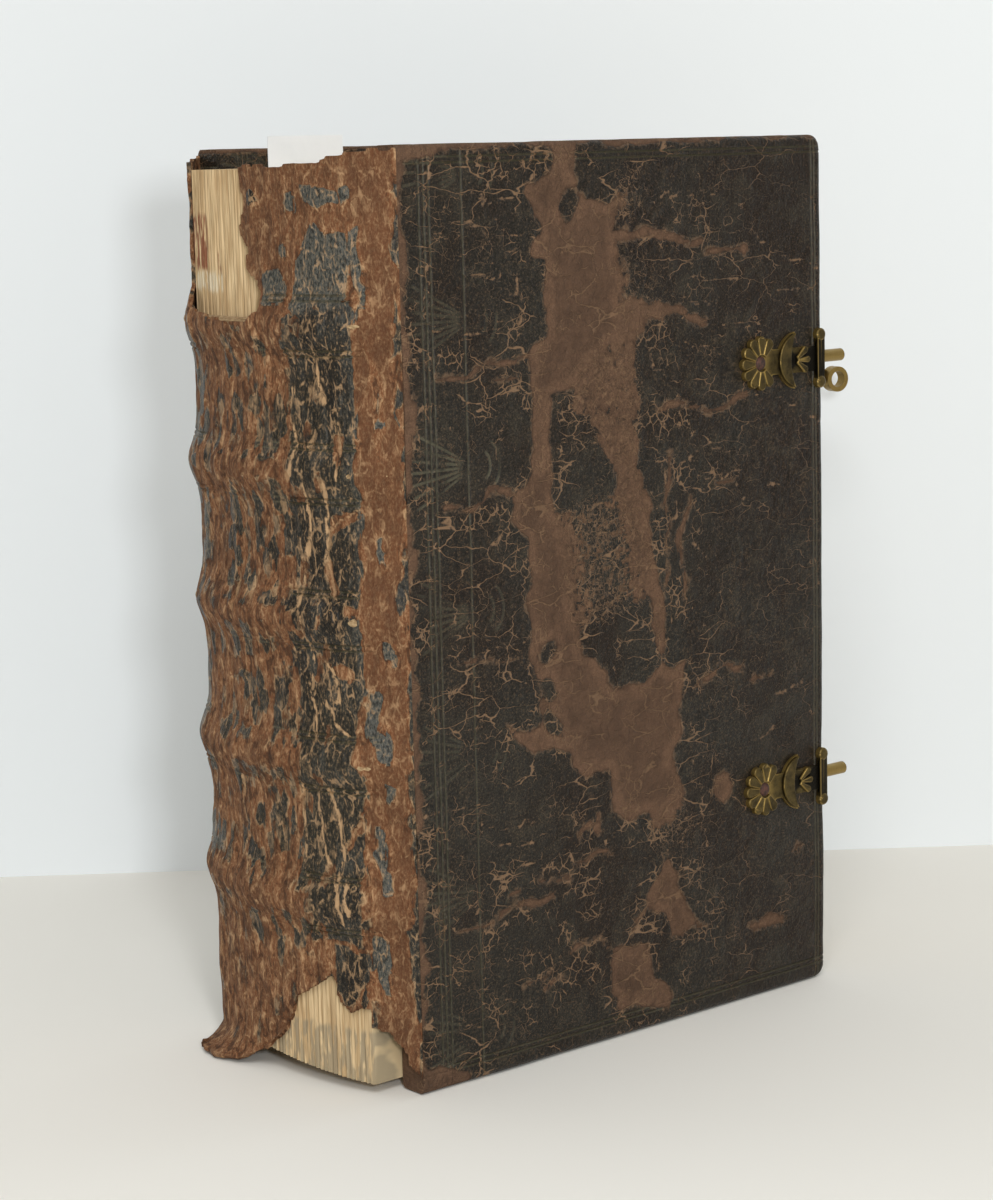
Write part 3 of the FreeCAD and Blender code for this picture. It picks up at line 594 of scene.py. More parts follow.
# Spine: the section of the leather seen from the head, and what is torn away, in millimetres
LEATHER_OUT = 1.15
ARC_RADIUS = (HALF_BLOCK ** 2 + (SHOULDER_X - SPINE_APEX) ** 2) / (2 * (SHOULDER_X - SPINE_APEX))
ARC_CENTRE = ARC_RADIUS + SPINE_APEX
HEAD_TEAR = [
    (0.6, 182), (0.4, 170.5), (1.2, 164), (-0.8, 161), (-0.4, 157.4), (-3.2, 155.4), (-5.8, 153),
    (-5.6, 150.4),
    (-3.4, 148.4), (1, 147.9), (7.6, 148.6), (18, 150.2), (23.4, 152.8), (25.8, 155), (25.4, 182),
]
TAIL_TEAR = [
    (-8, 16.2), (-13, 19.4), (-17.5, 22.8), (-18.2, 17.8), (-21.2, 15.4), (-25.4, 17), (-24.4, 13.2),
    (-27.4, 12.6),
    (-29.4, 8.4), (-30.2, 4.8), (-31.6, 3.2), (-32.4, -1), (-8, -1),
]
HEAD_LINE = [(-33, 180), (-27, 179.2), (-20, 177.7), (-10, 177), (2, 177.3), (24, 177.3), (33, 179)]
FOLD_LINE = [(-8, 16.2), (1, 10.8), (13, 6.8), (25, 3.6), (34, 2.4)]
FLAP_EDGE = [
    (-8, (-12.6, -2.6, 8.4)), (0, (-12.2, 4.6, 3.4)), (8, (-14.8, 9.6, 1.0)), (16, (-16.4, 15.6, 1.0)),
    (25, (-15.6, 21.2, 1.6)),
]
SPINE_LEVELS = [
    ([(-40, 182), (26, 182), (26, 0), (-40, 0)], 1.05),
    ([(-8.5, 147), (-1, 147), (-1, 24), (-8.5, 24)], 0.2),
    ([(-1, 147), (5, 147), (5, 26), (-1, 26)], 0.8),
    ([(5, 147), (12, 147), (12, 28), (5, 28)], 0.35),
    ([(12, 149), (20, 151), (20, 30), (12, 28)], -1.35),
    ([(19.6, 152), (26.2, 151), (26, 130), (27, 100), (26.2, 82), (24, 70), (25.4, 60), (24.4, 30),
      (19.6, 30)], -2.4),
    ([(-9, 182), (27, 182), (27, 151), (8, 149), (-9, 147.6)], 2.4),
    ([(-40, 24), (16, 26), (18, 0), (-40, 0)], 1.5),
    ([(14, 150), (14.6, 160), (19, 166.6), (24.6, 164), (25.8, 151)], -2.4),
    ([(16.4, 169), (23.6, 169.4), (24, 172.4), (16, 172.4)], -2.2),
    ([(24.2, 170), (27, 170.4), (26.6, 173), (24.2, 172.4)], -2.2),
    ([(12, 167.6), (14.4, 168), (14, 171.4), (12, 171)], -2.0),
    ([(7, 151.4), (13.4, 151.6), (13, 155), (10, 157.6), (7, 157)], -1.2),
    ([(10.6, 160), (13.2, 160), (13, 162.4), (11, 162)], -2.0),
    ([(2, 170.4), (4.4, 170.4), (4.4, 173), (2.4, 173)], -1.2),
    ([(18.6, 28.6), (25.8, 28), (26, 22), (24, 18.6), (20, 17.4), (18.4, 21)], -2.2),
    ([(10, 122.4), (10, 118.8), (-10, 118.4), (-10, 122.6)], 2.0),
    ([(9, 94.2), (9, 90.4), (-9, 90.4), (-9, 94)], 2.0),
    ([(12, 82.6), (12, 79.4), (-9, 79), (-9, 82)], 1.5),
    ([(13, 67.2), (13, 62.8), (-9, 63), (-9, 67)], 1.8),
    ([(13, 39.4), (13, 34.8), (-9, 34.8), (-9, 39)], 2.0),
    ([(12, 150.6), (12, 146.4), (-10, 146), (-10, 149)], 2.0),
    ([(22, 127), (24.8, 128), (24, 121), (22.4, 119)], 1.4),
    ([(20, 113), (25.6, 112), (25, 110.4), (21, 108), (21.6, 98), (20, 97)], 1.6),
    ([(19.6, 84), (24.6, 83.4), (24, 81), (20, 81)], 1.2),
    ([(20.6, 50), (24.8, 56), (25, 53), (21, 48)], 1.4),
    ([(22, 96), (26.4, 95), (26, 93), (23, 93)], 1.4),
    ([(26, 182), (34, 182), (34, 0), (26, 0)], 3.4),
    ([(26.2, 150), (27.6, 150), (27.6, 158), (26.8, 165.4), (25.2, 164.6)], -1.8),
    ([(26.2, 80), (27.6, 79), (28.6, 72), (29.8, 66), (27.6, 65.4), (26.2, 72)], -2.2),
    ([(26.8, 54), (28.2, 53), (28.4, 44), (29, 40), (27, 39.6), (26.8, 48)], -2.0),
    ([(26.4, 33), (28.4, 32), (28.4, 20), (26.6, 19.6)], -2.0),
    ([(28.4, 141), (29.6, 138), (29.6, 128), (28.6, 121)], -0.6),
    ([(28, 109), (29, 108), (29.2, 102), (28.4, 101)], -0.8),
    ([(28.6, 88), (30, 87), (29.8, 83), (28.8, 83)], -1.2),
    ([(27.6, 62), (29.4, 61), (28.8, 57.6), (27.6, 58.6)], -1.2),
    ([(31.2, 182), (34, 182), (34, 0), (31.2, 0)], -0.8),
]
# Places of the spine drawn in the ash tone: the first two are dusty grey places, the rest are a painted sheen
# of grazing light on the far-left side
SPINE_ASH_AND_SHEEN = [
    [(6, 182), (27, 182), (27, 150), (6, 150)],
    [(25.4, 182), (31, 182), (31, 0), (26, 0)],
    [(-40, 145), (-19, 145), (-17, 128), (-19, 120), (-16.4, 112), (-18, 100), (-40, 98)],
    [(-40, 80), (-20, 79), (-19, 62), (-21, 56), (-40, 56)],
    [(-40, 49), (-16, 48), (-15, 42), (-40, 40)],
]
# The far-left grey places are a painted grazing sheen, with the dark layer kept on under the grey
SPINE_PAINTED_SHEEN = SPINE_ASH_AND_SHEEN[2:]
SPINE_CRACKS = [
    ([(13, 136), (12.2, 130), (13.4, 125), (12, 119)], 0.3),
    ([(17.6, 141), (18.4, 136), (20.2, 132.6)], 0.25),
    ([(22.4, 128.6), (23.6, 124), (22.6, 119)], 0.4),
    ([(15.2, 119), (16, 112), (15.2, 106), (15, 100), (13.6, 94.6)], 0.35),
    ([(19.6, 118), (19.4, 110), (20.2, 104), (20.6, 97)], 0.3),
    ([(20, 109), (22.6, 111), (25.4, 112.6)], 0.35),
    ([(14.4, 93), (15.2, 87), (14.6, 80)], 0.2),
    ([(17.6, 84.4), (20, 82.4), (20.2, 76)], 0.25),
    ([(19, 60), (19.4, 54), (20.6, 48), (19.6, 41), (20.8, 34)], 0.3),
    ([(20, 49), (22.4, 51.6), (24.4, 54.6)], 0.4),
    ([(15.6, 58), (16, 50), (17.4, 44)], 0.12),
    ([(9.6, 60), (10, 52), (9.4, 44)], 0.12),
    ([(12.2, 60), (12.8, 52), (12.2, 46)], 0.12),
    ([(-6.6, 59), (-6.2, 50), (-6.8, 44)], 0.15),
    ([(-4.6, 116), (-2.4, 112)], 0.15),
    ([(-5.6, 99), (-5, 95), (-5.8, 91)], 0.15),
    ([(0.4, 100), (0.6, 94)], 0.3),
    ([(15.4, 77), (16.2, 71), (15.2, 64)], 0.2),
    ([(18.4, 77), (20.4, 72), (23, 69.6)], 0.15),
    ([(21.4, 42), (22.4, 36)], 0.35),
]
SPINE_FILLETS = [height + offset for height in CORD_HEIGHTS for offset in (-5.6, -4.6, 4.6, 5.6)]
BAND_WIDTH = 4.6
# How far the bands stand out, from the middle of the spine to the joint
BAND_RISE = ((0, 2.4), (20, 2.2), (26, 1.7), (28, 1.4), (30.4, 1.3), (31.9, 0.0))


def spine_section(y):
    """The outer side of the spine leather at a distance y from the middle of the thickness."""
    joint_y = HALF_THICKNESS
    lower = Vector((SHOULDER_X - LEATHER_OUT, HALF_BLOCK + 0.9))
    slope = (lower - Vector((0, joint_y))).normalized()
    radius = ARC_RADIUS + LEATHER_OUT
    start = Vector((-ARC_CENTRE, joint_y))
    along = start.dot(slope)
    travel = -along + math.sqrt(along ** 2 - start.length_squared + radius ** 2)
    meet = Vector((slope.x * travel, joint_y + slope.y * travel))
    side = np.abs(y)
    arc = ARC_CENTRE - np.sqrt(np.maximum(radius ** 2 - side ** 2, 0))
    straight = meet.x * (joint_y - side) / (joint_y - meet.y)
    rounding = 1.1
    return np.minimum(rounding * np.logaddexp(arc / rounding, straight / rounding), -0.02)


def interpolated(line, values):
    return np.interp(values, *zip(*line))


def spine_surface(y, z):
    """A point of the outer side, with the five bands raised over the cords."""
    x = spine_section(y)
    step = 0.05
    lean = (spine_section(y + step) - spine_section(y - step)) / (2 * step)
    length = np.sqrt(1 + lean ** 2)
    bump = np.zeros_like(y)
    for height in CORD_HEIGHTS:
        bump = np.maximum(bump, np.exp(-((z - height) / BAND_WIDTH) ** 2))
    side = np.abs(y)
    rise = interpolated(BAND_RISE, side)
    return x - bump * rise / length, y + bump * rise * lean / length


def spine_sheet(name, step):
    columns = np.linspace(-HALF_THICKNESS, HALF_THICKNESS, 400)
    path = np.concatenate([[0], np.cumsum(np.hypot(np.diff(spine_section(columns)), np.diff(columns)))])
    across = int(path[-1] / step)
    ys = np.interp(np.linspace(0, path[-1], across + 1), path, columns)
    zs = sheet_lines(0.4, BOARD_HEIGHT, step, SPINE_FILLETS)
    piece, y, z = line_grid(name, ys, zs)
    place(piece, np.stack([np.zeros_like(y), y, z], 1))
    return piece


def torn_away(y, z):
    """Which points of the spine are gone, with ragged edges."""
    ragged = Ripple(31)
    ry = y + 0.45 * ragged.layers(y, z, 1.8, 3)
    rz = z + 0.45 * ragged.layers(y + 50, z, 1.8, 3)
    gone = inside_depth(ry, rz, HEAD_TEAR) > 0
    gone |= inside_depth(ry, rz, TAIL_TEAR) > 0
    gone |= rz > interpolated(HEAD_LINE, y)
    return gone


def delete_points(piece, gone):
    bpy.ops.object.mode_set(mode="EDIT")
    bpy.ops.mesh.select_mode(type="VERT")
    mesh = bmesh.from_edit_mesh(piece.data)
    for vertex, flag in zip(mesh.verts, gone):
        vertex.select_set(bool(flag))
    mesh.select_flush_mode()
    bmesh.update_edit_mesh(piece.data)
    bpy.ops.mesh.delete(type="VERT")
    bpy.ops.mesh.select_all(action="SELECT")
    bpy.ops.mesh.region_to_loop()
    bpy.ops.mesh.vertices_smooth(factor=0.5, repeat=2)
    bpy.ops.object.mode_set(mode="OBJECT")


def spine_wear(u, z):
    """How bare each place of the spine is, as a signed number; u runs to the front cover."""
    warp = Ripple(17)
    wu = u + 0.8 * warp.layers(u, z * 0.5, 3.0)
    wz = z + 1.2 * warp.layers(u + 30, z * 0.5, 5.0)
    wear = np.full(u.shape, 0.75)
    for outline, level in SPINE_LEVELS:
        inside = smooth_step(-0.7, 0.7, inside_depth(wu, wz, outline))
        wear += (level - wear) * inside
    ash = np.zeros(u.shape)
    for outline in SPINE_ASH_AND_SHEEN:
        ash = np.maximum(ash, smooth_step(-1.5, 1.5, inside_depth(wu, wz, outline)))
    # Painted sheen: the dark layer is kept on at the far-left grey places so that the grey tone shows over it
    for outline in SPINE_PAINTED_SHEEN:
        wear -= 1.6 * smooth_step(-2, 2, inside_depth(wu, wz, outline))
    crack = np.full(u.shape, 6.0)
    for line, half in SPINE_CRACKS:
        crack = np.minimum(crack, line_distance(wu, wz, line) - half * 0.5)
    return wear, ash, crack


def dress_spine(piece):
    co = coordinates(piece)
    y, z = co[:, 1].copy(), co[:, 2].copy()
    delete_points(piece, torn_away(y, z))
    co = coordinates(piece)
    y, z = co[:, 1].copy(), co[:, 2].copy()
    wear, ash, crack = spine_wear(-y, z)
    tooled = groove_depth(z, SPINE_FILLETS) * smooth_step(29, 26, np.abs(y))
    store(piece, wear=wear, ash=ash, crack=crack, tool=tooled)
    fold = interpolated(FOLD_LINE, y)
    x, new_y = spine_surface(y, z)
    noise = Ripple(41)
    relief = 0.3 * noise.layers(y, z * 0.4, 3.4, 4) + 0.14 * smooth_step(0.4, -0.4, wear)
    relief += 0.16 * noise.layers(y * 2.4, z * 0.3, 2.4, 3)
    relief -= 0.3 * tooled * smooth_step(0.8, -0.6, wear)
    relief -= 0.35 * np.clip(1 - (crack + 0.3) / 0.9, 0, 1)
    calm = smooth_step(31.9, 29.5, np.abs(y))
    x = np.minimum(x - relief * calm, -0.1)
    # The torn tail hangs out to the left as a curled flap
    in_flap = (z < fold) & (y > -8)
    share = np.clip((fold - z) / np.maximum(fold - 0.4, 0.1), 0, 1)
    edge = np.stack([interpolated([(at, end[axis]) for at, end in FLAP_EDGE], y) for axis in range(3)], 1)
    fold_x, fold_y = spine_surface(y, fold)
    start = np.stack([fold_x - relief * calm, fold_y, fold], 1)
    belly = 1.3 * np.sin(np.pi * share)
    bent = start + (edge - start) * share[:, None]
    bent[:, 0] += belly * 0.4 + 0.25 * noise.layers(y, z, 2.2, 2) * share
    bent[:, 2] -= belly * 0.5
    result = np.stack([x, new_y, z], 1)
    result[in_flap] = bent[in_flap]
    store(piece, flap=np.where(in_flap, share, 0))
    result += (JOINT_X, MIDDLE_Y, 0)
    result[:, 2] = np.maximum(result[:, 2], 0.4)
    place(piece, result)
    finish_sheet(piece, SPINE_LEATHER)


# Leaves: sections folded and sewn, seen as folds at the spine and as fine lines at the other sides
SECTION_COUNT = 46
POINTS_PER_SECTION = 6
SEWING_STITCH = 0.35
SEWING_HEAD_Z = 169.2
SEWING_ABOVE_TAIL = 10.4
LEAF_ROWS = 60
STAIN_EDGE = 1.5
# Stains on the folds: lowest and highest place up the spine, then across it, colour and strength
LEAF_STAINS = (
    (157, 169, 16, 30, rgb(112, 50, 34), 0.8),
    (156, 162, 9.6, 12.6, rgb(96, 44, 28), 0.9),
    (153, 158, 9, 27, rgb(206, 196, 172), 0.8),
    (-2, 14, -30, 12, rgb(136, 126, 106), 0.7),
)


def leaf_block(name):
    """The sewn leaves as one block, from a flat plan that is pulled up to the head."""
    count_y = SECTION_COUNT * POINTS_PER_SECTION
    piece, along, across = new_grid(name, 24, count_y)
    y = (across * 2 - 1) * HALF_BLOCK
    fore = block_high[0] - JOINT_X
    share = across * SECTION_COUNT
    fold = np.abs((share % 1) - 0.5) * 2
    ridge = 0.42 * (1 - fold ** 2.2)
    arc = ARC_CENTRE - np.sqrt(ARC_RADIUS ** 2 - y ** 2)
    noise = Ripple(61)
    spine_x = arc + 0.42 - ridge + 0.12 * noise.layers(share * 3.1, share * 0, 1.0, 2)
    hollow = 5.0 * (1 - (y / HALF_BLOCK) ** 2)
    fore_x = fore - hollow - 0.25 * np.abs(noise.layers(share * 4.7, share * 0 + 9, 1.0, 2))
    x = spine_x + (fore_x - spine_x) * along ** 1.6
    tail = np.interp(y, [-HALF_BLOCK, HALF_BLOCK], [BLOCK_TAIL_FRONT, BLOCK_TAIL_BACK])
    place(piece, np.stack([x + JOINT_X, y + MIDDLE_Y, tail], 1))
    bpy.ops.object.mode_set(mode="EDIT")
    bpy.ops.mesh.select_mode(type="FACE")
    bpy.ops.mesh.select_all(action="SELECT")
    for number in range(LEAF_ROWS):
        bpy.ops.mesh.extrude_region_move()
        mesh = bmesh.from_edit_mesh(piece.data)
        for vertex in mesh.verts:
            if vertex.select:
                low = tail_height(vertex.co.y / MM - MIDDLE_Y)
                vertex.co.z = (low + (HEAD_Z - low) * (number + 1) / LEAF_ROWS) * MM
        bmesh.update_edit_mesh(piece.data)
    bpy.ops.object.mode_set(mode="OBJECT")
    return piece


def tail_height(y):
    share = (y + HALF_BLOCK) / (2 * HALF_BLOCK)
    return BLOCK_TAIL_FRONT + (BLOCK_TAIL_BACK - BLOCK_TAIL_FRONT) * share


def dress_leaves(piece):
    co = coordinates(piece)
    x, y, z = co[:, 0] - JOINT_X, co[:, 1] - MIDDLE_Y, co[:, 2]
    on_spine = smooth_step(2.5, 0.5, x - (ARC_CENTRE - np.sqrt(np.maximum(ARC_RADIUS ** 2 - y ** 2, 0))))
    noise = Ripple(71)
    share = (y / HALF_BLOCK + 1) / 2 * SECTION_COUNT
    shift = 0.16 * noise.layers(share * 1.7, z * 0.06, 1.0, 3)
    shift += 0.07 * noise.layers(share * 6, z * 0.5, 1.0, 2)
    stitch = np.zeros_like(z)
    for height in (SEWING_HEAD_Z, tail_height(y) + SEWING_ABOVE_TAIL):
        away = z - height - 0.2 * noise.layers(share, share, 1.0)
        stitch = np.maximum(stitch, np.exp(-(away / 0.55) ** 2))
    co[:, 0] += on_spine * (np.abs(shift) - SEWING_STITCH * stitch)
    place(piece, co)
    face_outward(piece)
    shade(piece, 35)


# Node groups and materials
def feed(tree, node, inputs):
    """Links the inputs of a node, or sets those that are given a value."""
    for key, value in inputs.items():
        if isinstance(value, bpy.types.NodeSocket):
            tree.links.new(value, node.inputs[key])
        else:
            node.inputs[key].default_value = value


def add_node(tree, kind, inputs=None, **settings):
    node = tree.nodes.new(kind)
    for label, value in settings.items():
        setattr(node, label, value)
    feed(tree, node, inputs or {})
    return node


def maths(tree, operation, *values):
    return add_node(tree, "ShaderNodeMath", dict(enumerate(values)), operation=operation).outputs[0]


def times(tree, first, second):
    return maths(tree, "MULTIPLY", first, second)


def times_plus(tree, first, second, third):
    return maths(tree, "MULTIPLY_ADD", first, second, third)


def largest(tree, first, *others):
    for value in others:
        first = maths(tree, "MAXIMUM", first, value)
    return first


def ramp(tree, value, low, high, to_low=0.0, to_high=1.0):
    inputs = {"Value": value, "From Min": low, "From Max": high, "To Min": to_low, "To Max": to_high}
    return add_node(tree, "ShaderNodeMapRange", inputs, interpolation_type="SMOOTHSTEP").outputs["Result"]


def mixed(tree, factor, first, second):
    """Two colours mixed; 6, 7 and the output 2 are the mix node's colour sockets."""
    return add_node(tree, "ShaderNodeMix", {0: factor, 6: first, 7: second}, data_type="RGBA").outputs[2]


def noise_value(tree, vector, size, detail=2.0, rough=0.5, distortion=0.0, output=0):
    """Noise with features of about the given size in millimetres."""
    inputs = {"Vector": vector, "Scale": 1 / (size * MM), "Detail": detail, "Roughness": rough}
    inputs["Distortion"] = distortion
    return add_node(tree, "ShaderNodeTexNoise", inputs).outputs[output]


def scaled(tree, vector, scale):
    return add_node(tree, "ShaderNodeVectorMath", {0: vector, 1: scale}, operation="MULTIPLY").outputs[0]


def warped(tree, vector, size, amount, detail=2.0):
    """The same place pushed about by noise of the given size, by up to the given amount in millimetres."""
    push = noise_value(tree, vector, size, detail, output="Color")
    inputs = {0: push, 1: (2 * amount * MM,) * 3, 2: vector}
    return add_node(tree, "ShaderNodeVectorMath", inputs, operation="MULTIPLY_ADD").outputs[0]


def cell_tone(tree, vector, size):
    """One random number for each cell of the given size in millimetres."""
    cells = add_node(tree, "ShaderNodeTexVoronoi", {"Vector": vector, "Scale": 1 / (size * MM)})
    return add_node(tree, "ShaderNodeSeparateColor", {0: cells.outputs["Color"]}).outputs[0]


def cell_edge(tree, vector, size):
    """Distance to the nearest border between cells, in millimetres."""
    inputs = {"Vector": vector, "Scale": 1 / (size * MM)}
    cells = add_node(tree, "ShaderNodeTexVoronoi", inputs, feature="DISTANCE_TO_EDGE")
    return times(tree, cells.outputs["Distance"], size)


def crack_net(tree, vector, size, half_width, gate):
    """Cracks along the borders of wandering cells. Where the gate falls to 0 they thin out and end."""
    bent = warped(tree, warped(tree, vector, size * 0.8, size * 0.4), size * 0.15, size * 0.05)
    width = largest(tree, times(tree, gate, half_width), 0.001)
    return ramp(tree, maths(tree, "DIVIDE", cell_edge(tree, bent, size), width), 1.0, 0.35)


def centred(tree, value, amount):
    return times(tree, maths(tree, "SUBTRACT", value, 0.5), amount)


def new_group(name, inputs, outputs):
    """A node group; an input without a value is a vector."""
    kinds = {type(None): "NodeSocketVector", float: "NodeSocketFloat", tuple: "NodeSocketColor"}
    group = bpy.data.node_groups.new(name, "ShaderNodeTree")
    for label, value in inputs.items():
        socket = group.interface.new_socket(label, in_out="INPUT", socket_type=kinds[type(value)])
        if value is not None:
            socket.default_value = value
    for label, kind in outputs.items():
        group.interface.new_socket(label, in_out="OUTPUT", socket_type=kind)
    return group, group.nodes.new("NodeGroupInput").outputs, group.nodes.new("NodeGroupOutput")


def worn_leather_group():
    """Dark grain layer over brown fibres. Wear above 0 shows the fibres; cracks show a tan line."""
    inputs = {
        "Vector": None, "Wear": -3.0, "Crack": 6.0, "Crackle": 0.0, "Hairlines": 0.5, "Tooling": 0.0,
        "Ash and Sheen": 0.0, "Raggedness": 1.0, "Flakes": 0.0, "Mottle": 0.0, "Grain Colour": GRAIN_COLOUR,
        "Warm Grain Colour": rgb(28, 19, 11), "Ash and Sheen Colour": rgb(60, 54, 43), "Fibre Colour": FIBRE_COLOUR,
        "Light Fibre Colour": rgb(132, 104, 78), "Deep Fibre Colour": rgb(58, 42, 31),
    }
    outputs = {"Color": "NodeSocketColor", "Roughness": "NodeSocketFloat", "Height": "NodeSocketFloat"}
    group, given, out = new_group("Worn leather", inputs, outputs)
    vector, crackle, hairlines = given["Vector"], given["Crackle"], given["Hairlines"]
    light, deep, ashen = given["Light Fibre Colour"], given["Deep Fibre Colour"], given["Ash and Sheen Colour"]
    coarse = noise_value(group, vector, 4.2, 3.0, 0.6, 0.3)
    fine = noise_value(group, vector, 0.75, 4.0, 0.65)
    small = noise_value(group, vector, 1.5, 4.0, 0.6, 0.6)
    # Flakes of the dark layer: cells that have come off or stayed on
    pushed = warped(group, vector, 1.2, 0.7, 3.0)
    flake = centred(group, cell_tone(group, pushed, FLAKE_SIZE), given["Flakes"])
    seam = times(group, ramp(group, cell_edge(group, pushed, FLAKE_SIZE), 0.2, 0.04), given["Mottle"])
    seam = times(group, seam, ramp(group, small, 0.46, 0.6, 0.0, 0.8))
    ragged = maths(group, "ADD", centred(group, coarse, 4.2), centred(group, fine, 2.2))
    whole = times_plus(group, crackle, -0.9, 1.0)
    field = times_plus(group, given["Wear"], whole, flake)
    field = times_plus(group, ragged, given["Raggedness"], field)
    field = times_plus(group, maths(group, "ADD", centred(group, small, 9.0), 2.1), crackle, field)
    bare = ramp(group, field, -0.14, 0.14)
    # Cracks: those at a known place, long ones, short ones near the worn places, and the close net
    placed = ramp(group, maths(group, "ADD", given["Crack"], centred(group, fine, 1.3)), 0.36, 0.06)
    long_gate = times(group, ramp(group, noise_value(group, vector, 9.0), 0.46, 0.62), hairlines)
    long_lines = crack_net(group, scaled(group, vector, (0.7, 1.0, 1.4)), 6.5, 0.24, long_gate)
    short_gate = ramp(group, noise_value(group, vector, 5.0), 0.5, 0.64)
    short_gate = times(group, short_gate, maths(group, "POWER", hairlines, 2.0))
    short_lines = crack_net(group, vector, 2.3, 0.17, short_gate)
    net_gate = times(group, crackle, ramp(group, fine, 0.4, 0.62))
    net = times(group, crack_net(group, warped(group, vector, 2.5, 1.2), 1.15, 0.2, net_gate), 0.9)
    lines = largest(group, long_lines, short_lines, net, seam, placed)
    # Tones of the dark layer, with a painted highlight along the raised lip where it has flaked off
    tone = ramp(group, noise_value(group, vector, 22.0, 3.0), 0.38, 0.62)
    grain = noise_value(group, vector, 0.42, 3.0, 0.65)
    dark = mixed(group, tone, given["Grain Colour"], given["Warm Grain Colour"])
    dark = mixed(group, times(group, ramp(group, coarse, 0.45, 0.7), 0.5), dark, ashen)
    # Ash mask: dusty grey places, and on the spine also a painted grazing sheen
    dark = mixed(group, given["Ash and Sheen"], dark, ashen)
    dark = mixed(group, times(group, ramp(group, grain, 0.52, 0.38), 0.75), dark, rgb(9, 7, 5))
    dust_and_sheen = mixed(group, times(group, ramp(group, grain, 0.52, 0.7), 0.3), dark, light)
    # Painted sheen: the tooled lines and fans lightened to a pale grey
    dust_and_sheen = mixed(group, times(group, given["Tooling"], 0.42), dust_and_sheen, rgb(104, 100, 80))
    # Painted highlight: the dark layer lightened toward the light fibre colour along the edge of each flaked
    # place
    lip_and_highlight = times(group, ramp(group, field, -0.7, -0.1), ramp(group, small, 0.42, 0.6))
    highlighted = mixed(group, times(group, lip_and_highlight, 0.5), dust_and_sheen, light)
    # Tones of the bare fibres
    speckle = noise_value(group, vector, 0.36, 3.0, 0.7)
    brown = mixed(group, times(group, ramp(group, speckle, 0.4, 0.8), 0.55), given["Fibre Colour"], light)
    brown = mixed(group, times(group, ramp(group, coarse, 0.6, 0.35), 0.35), brown, deep)
    calm = ramp(group, given["Wear"], 3.0, 1.6, 0.3, 1.0)
    brown = mixed(group, times_plus(group, calm, -0.5, 0.5), brown, deep)
    motley = largest(group, times(group, given["Mottle"], calm), times(group, crackle, 0.6))
    brown = mixed(group, times(group, ramp(group, small, 0.5, 0.36), motley), brown, deep)
    pale = times(group, ramp(group, small, 0.56, 0.7), motley)
    brown = mixed(group, times(group, pale, 0.85), brown, light)
    # Painted shade: the fibres darkened just inside the edge of the dark layer, where it stands over them
    brown = mixed(group, times(group, ramp(group, field, 0.6, 0.05), 0.5), brown, deep)
    surface = mixed(group, bare, highlighted, brown)
    keep = times(group, lines, times_plus(group, bare, -0.35, 0.8))
    height = times_plus(group, maths(group, "SUBTRACT", 1.0, bare), 0.26, times(group, grain, 0.1))
    for value, amount in (
        (lip_and_highlight, 0.12), (lines, -0.2), (given["Tooling"], -0.15), (times(group, speckle, bare), 0.16),
        (small, 0.32), (coarse, 0.55), (times(group, small, motley), 0.4),
    ):
        height = times_plus(group, value, amount, height)
    rough = times_plus(group, bare, 0.4, times_plus(group, grain, 0.3, 0.26))
    feed(group, out, {"Color": mixed(group, keep, surface, light), "Roughness": rough, "Height": height})
    return group


def fan_group():
    """A fan stamped beside each band: ribs that spread toward the joint, and two arcs behind its tip."""
    group, given, out = new_group("Fan stamp", {"Vector": None}, {"Mask": "NodeSocketFloat"})
    split = add_node(group, "ShaderNodeSeparateXYZ", {0: given["Vector"]}).outputs
    across = maths(group, "SUBTRACT", FAN_TIP_X, maths(group, "DIVIDE", split[0], MM))
    height = maths(group, "DIVIDE", split[2], MM)
    half = (CORD_HEIGHTS[1] - CORD_HEIGHTS[0]) / 2
    up = maths(group, "WRAP", maths(group, "SUBTRACT", height, CORD_HEIGHTS[2]), half, -half)
    reach = maths(group, "ADD", maths(group, "POWER", across, 2.0), maths(group, "POWER", up, 2.0))
    reach = maths(group, "SQRT", reach)
    angle = maths(group, "ARCTAN2", up, across)
    open_angle = maths(group, "ABSOLUTE", angle)
    ribs = ramp(group, times(group, maths(group, "PINGPONG", angle, FAN_RIB_ANGLE / 2), reach), 0.42, 0.16)
    ribs = times(group, ribs, ramp(group, open_angle, 0.5, 0.46))
    ribs = times(group, ribs, times(group, ramp(group, reach, 2.6, 4.0), ramp(group, reach, 16.4, 15.6)))
    behind = ramp(group, open_angle, 2.2, 2.4)
    for radius in FAN_ARCS:
        ring = ramp(group, maths(group, "ABSOLUTE", maths(group, "SUBTRACT", reach, radius)), 0.4, 0.16)
        ribs = largest(group, ribs, times(group, ring, behind))
    worn = ramp(group, noise_value(group, given["Vector"], 6.0), 0.36, 0.56)
    away = maths(group, "ABSOLUTE", maths(group, "SUBTRACT", height, CORD_HEIGHTS[3]))
    near = ramp(group, away, 16.0, 12.0, 0.45, 1.0)
    feed(group, out, {"Mask": times(group, times(group, ribs, worn), near)})
    return group


def start_material(name):
    material = bpy.data.materials.new(name)
    material.use_nodes = True
    tree = material.node_tree
    tree.nodes.clear()
    shader = add_node(tree, "ShaderNodeBsdfPrincipled")
    add_node(tree, "ShaderNodeOutputMaterial", {"Surface": shader.outputs[0]})
    return material, tree, shader


def object_vector(tree):
    return add_node(tree, "ShaderNodeTexCoord").outputs["Object"]


def attribute(tree, name):
    return add_node(tree, "ShaderNodeAttribute", attribute_name=name).outputs["Fac"]


def add_bump(tree, shader, height):
    bump = add_node(tree, "ShaderNodeBump", {"Distance": MM, "Strength": 1.0, "Height": height})
    feed(tree, shader, {"Normal": bump.outputs["Normal"]})


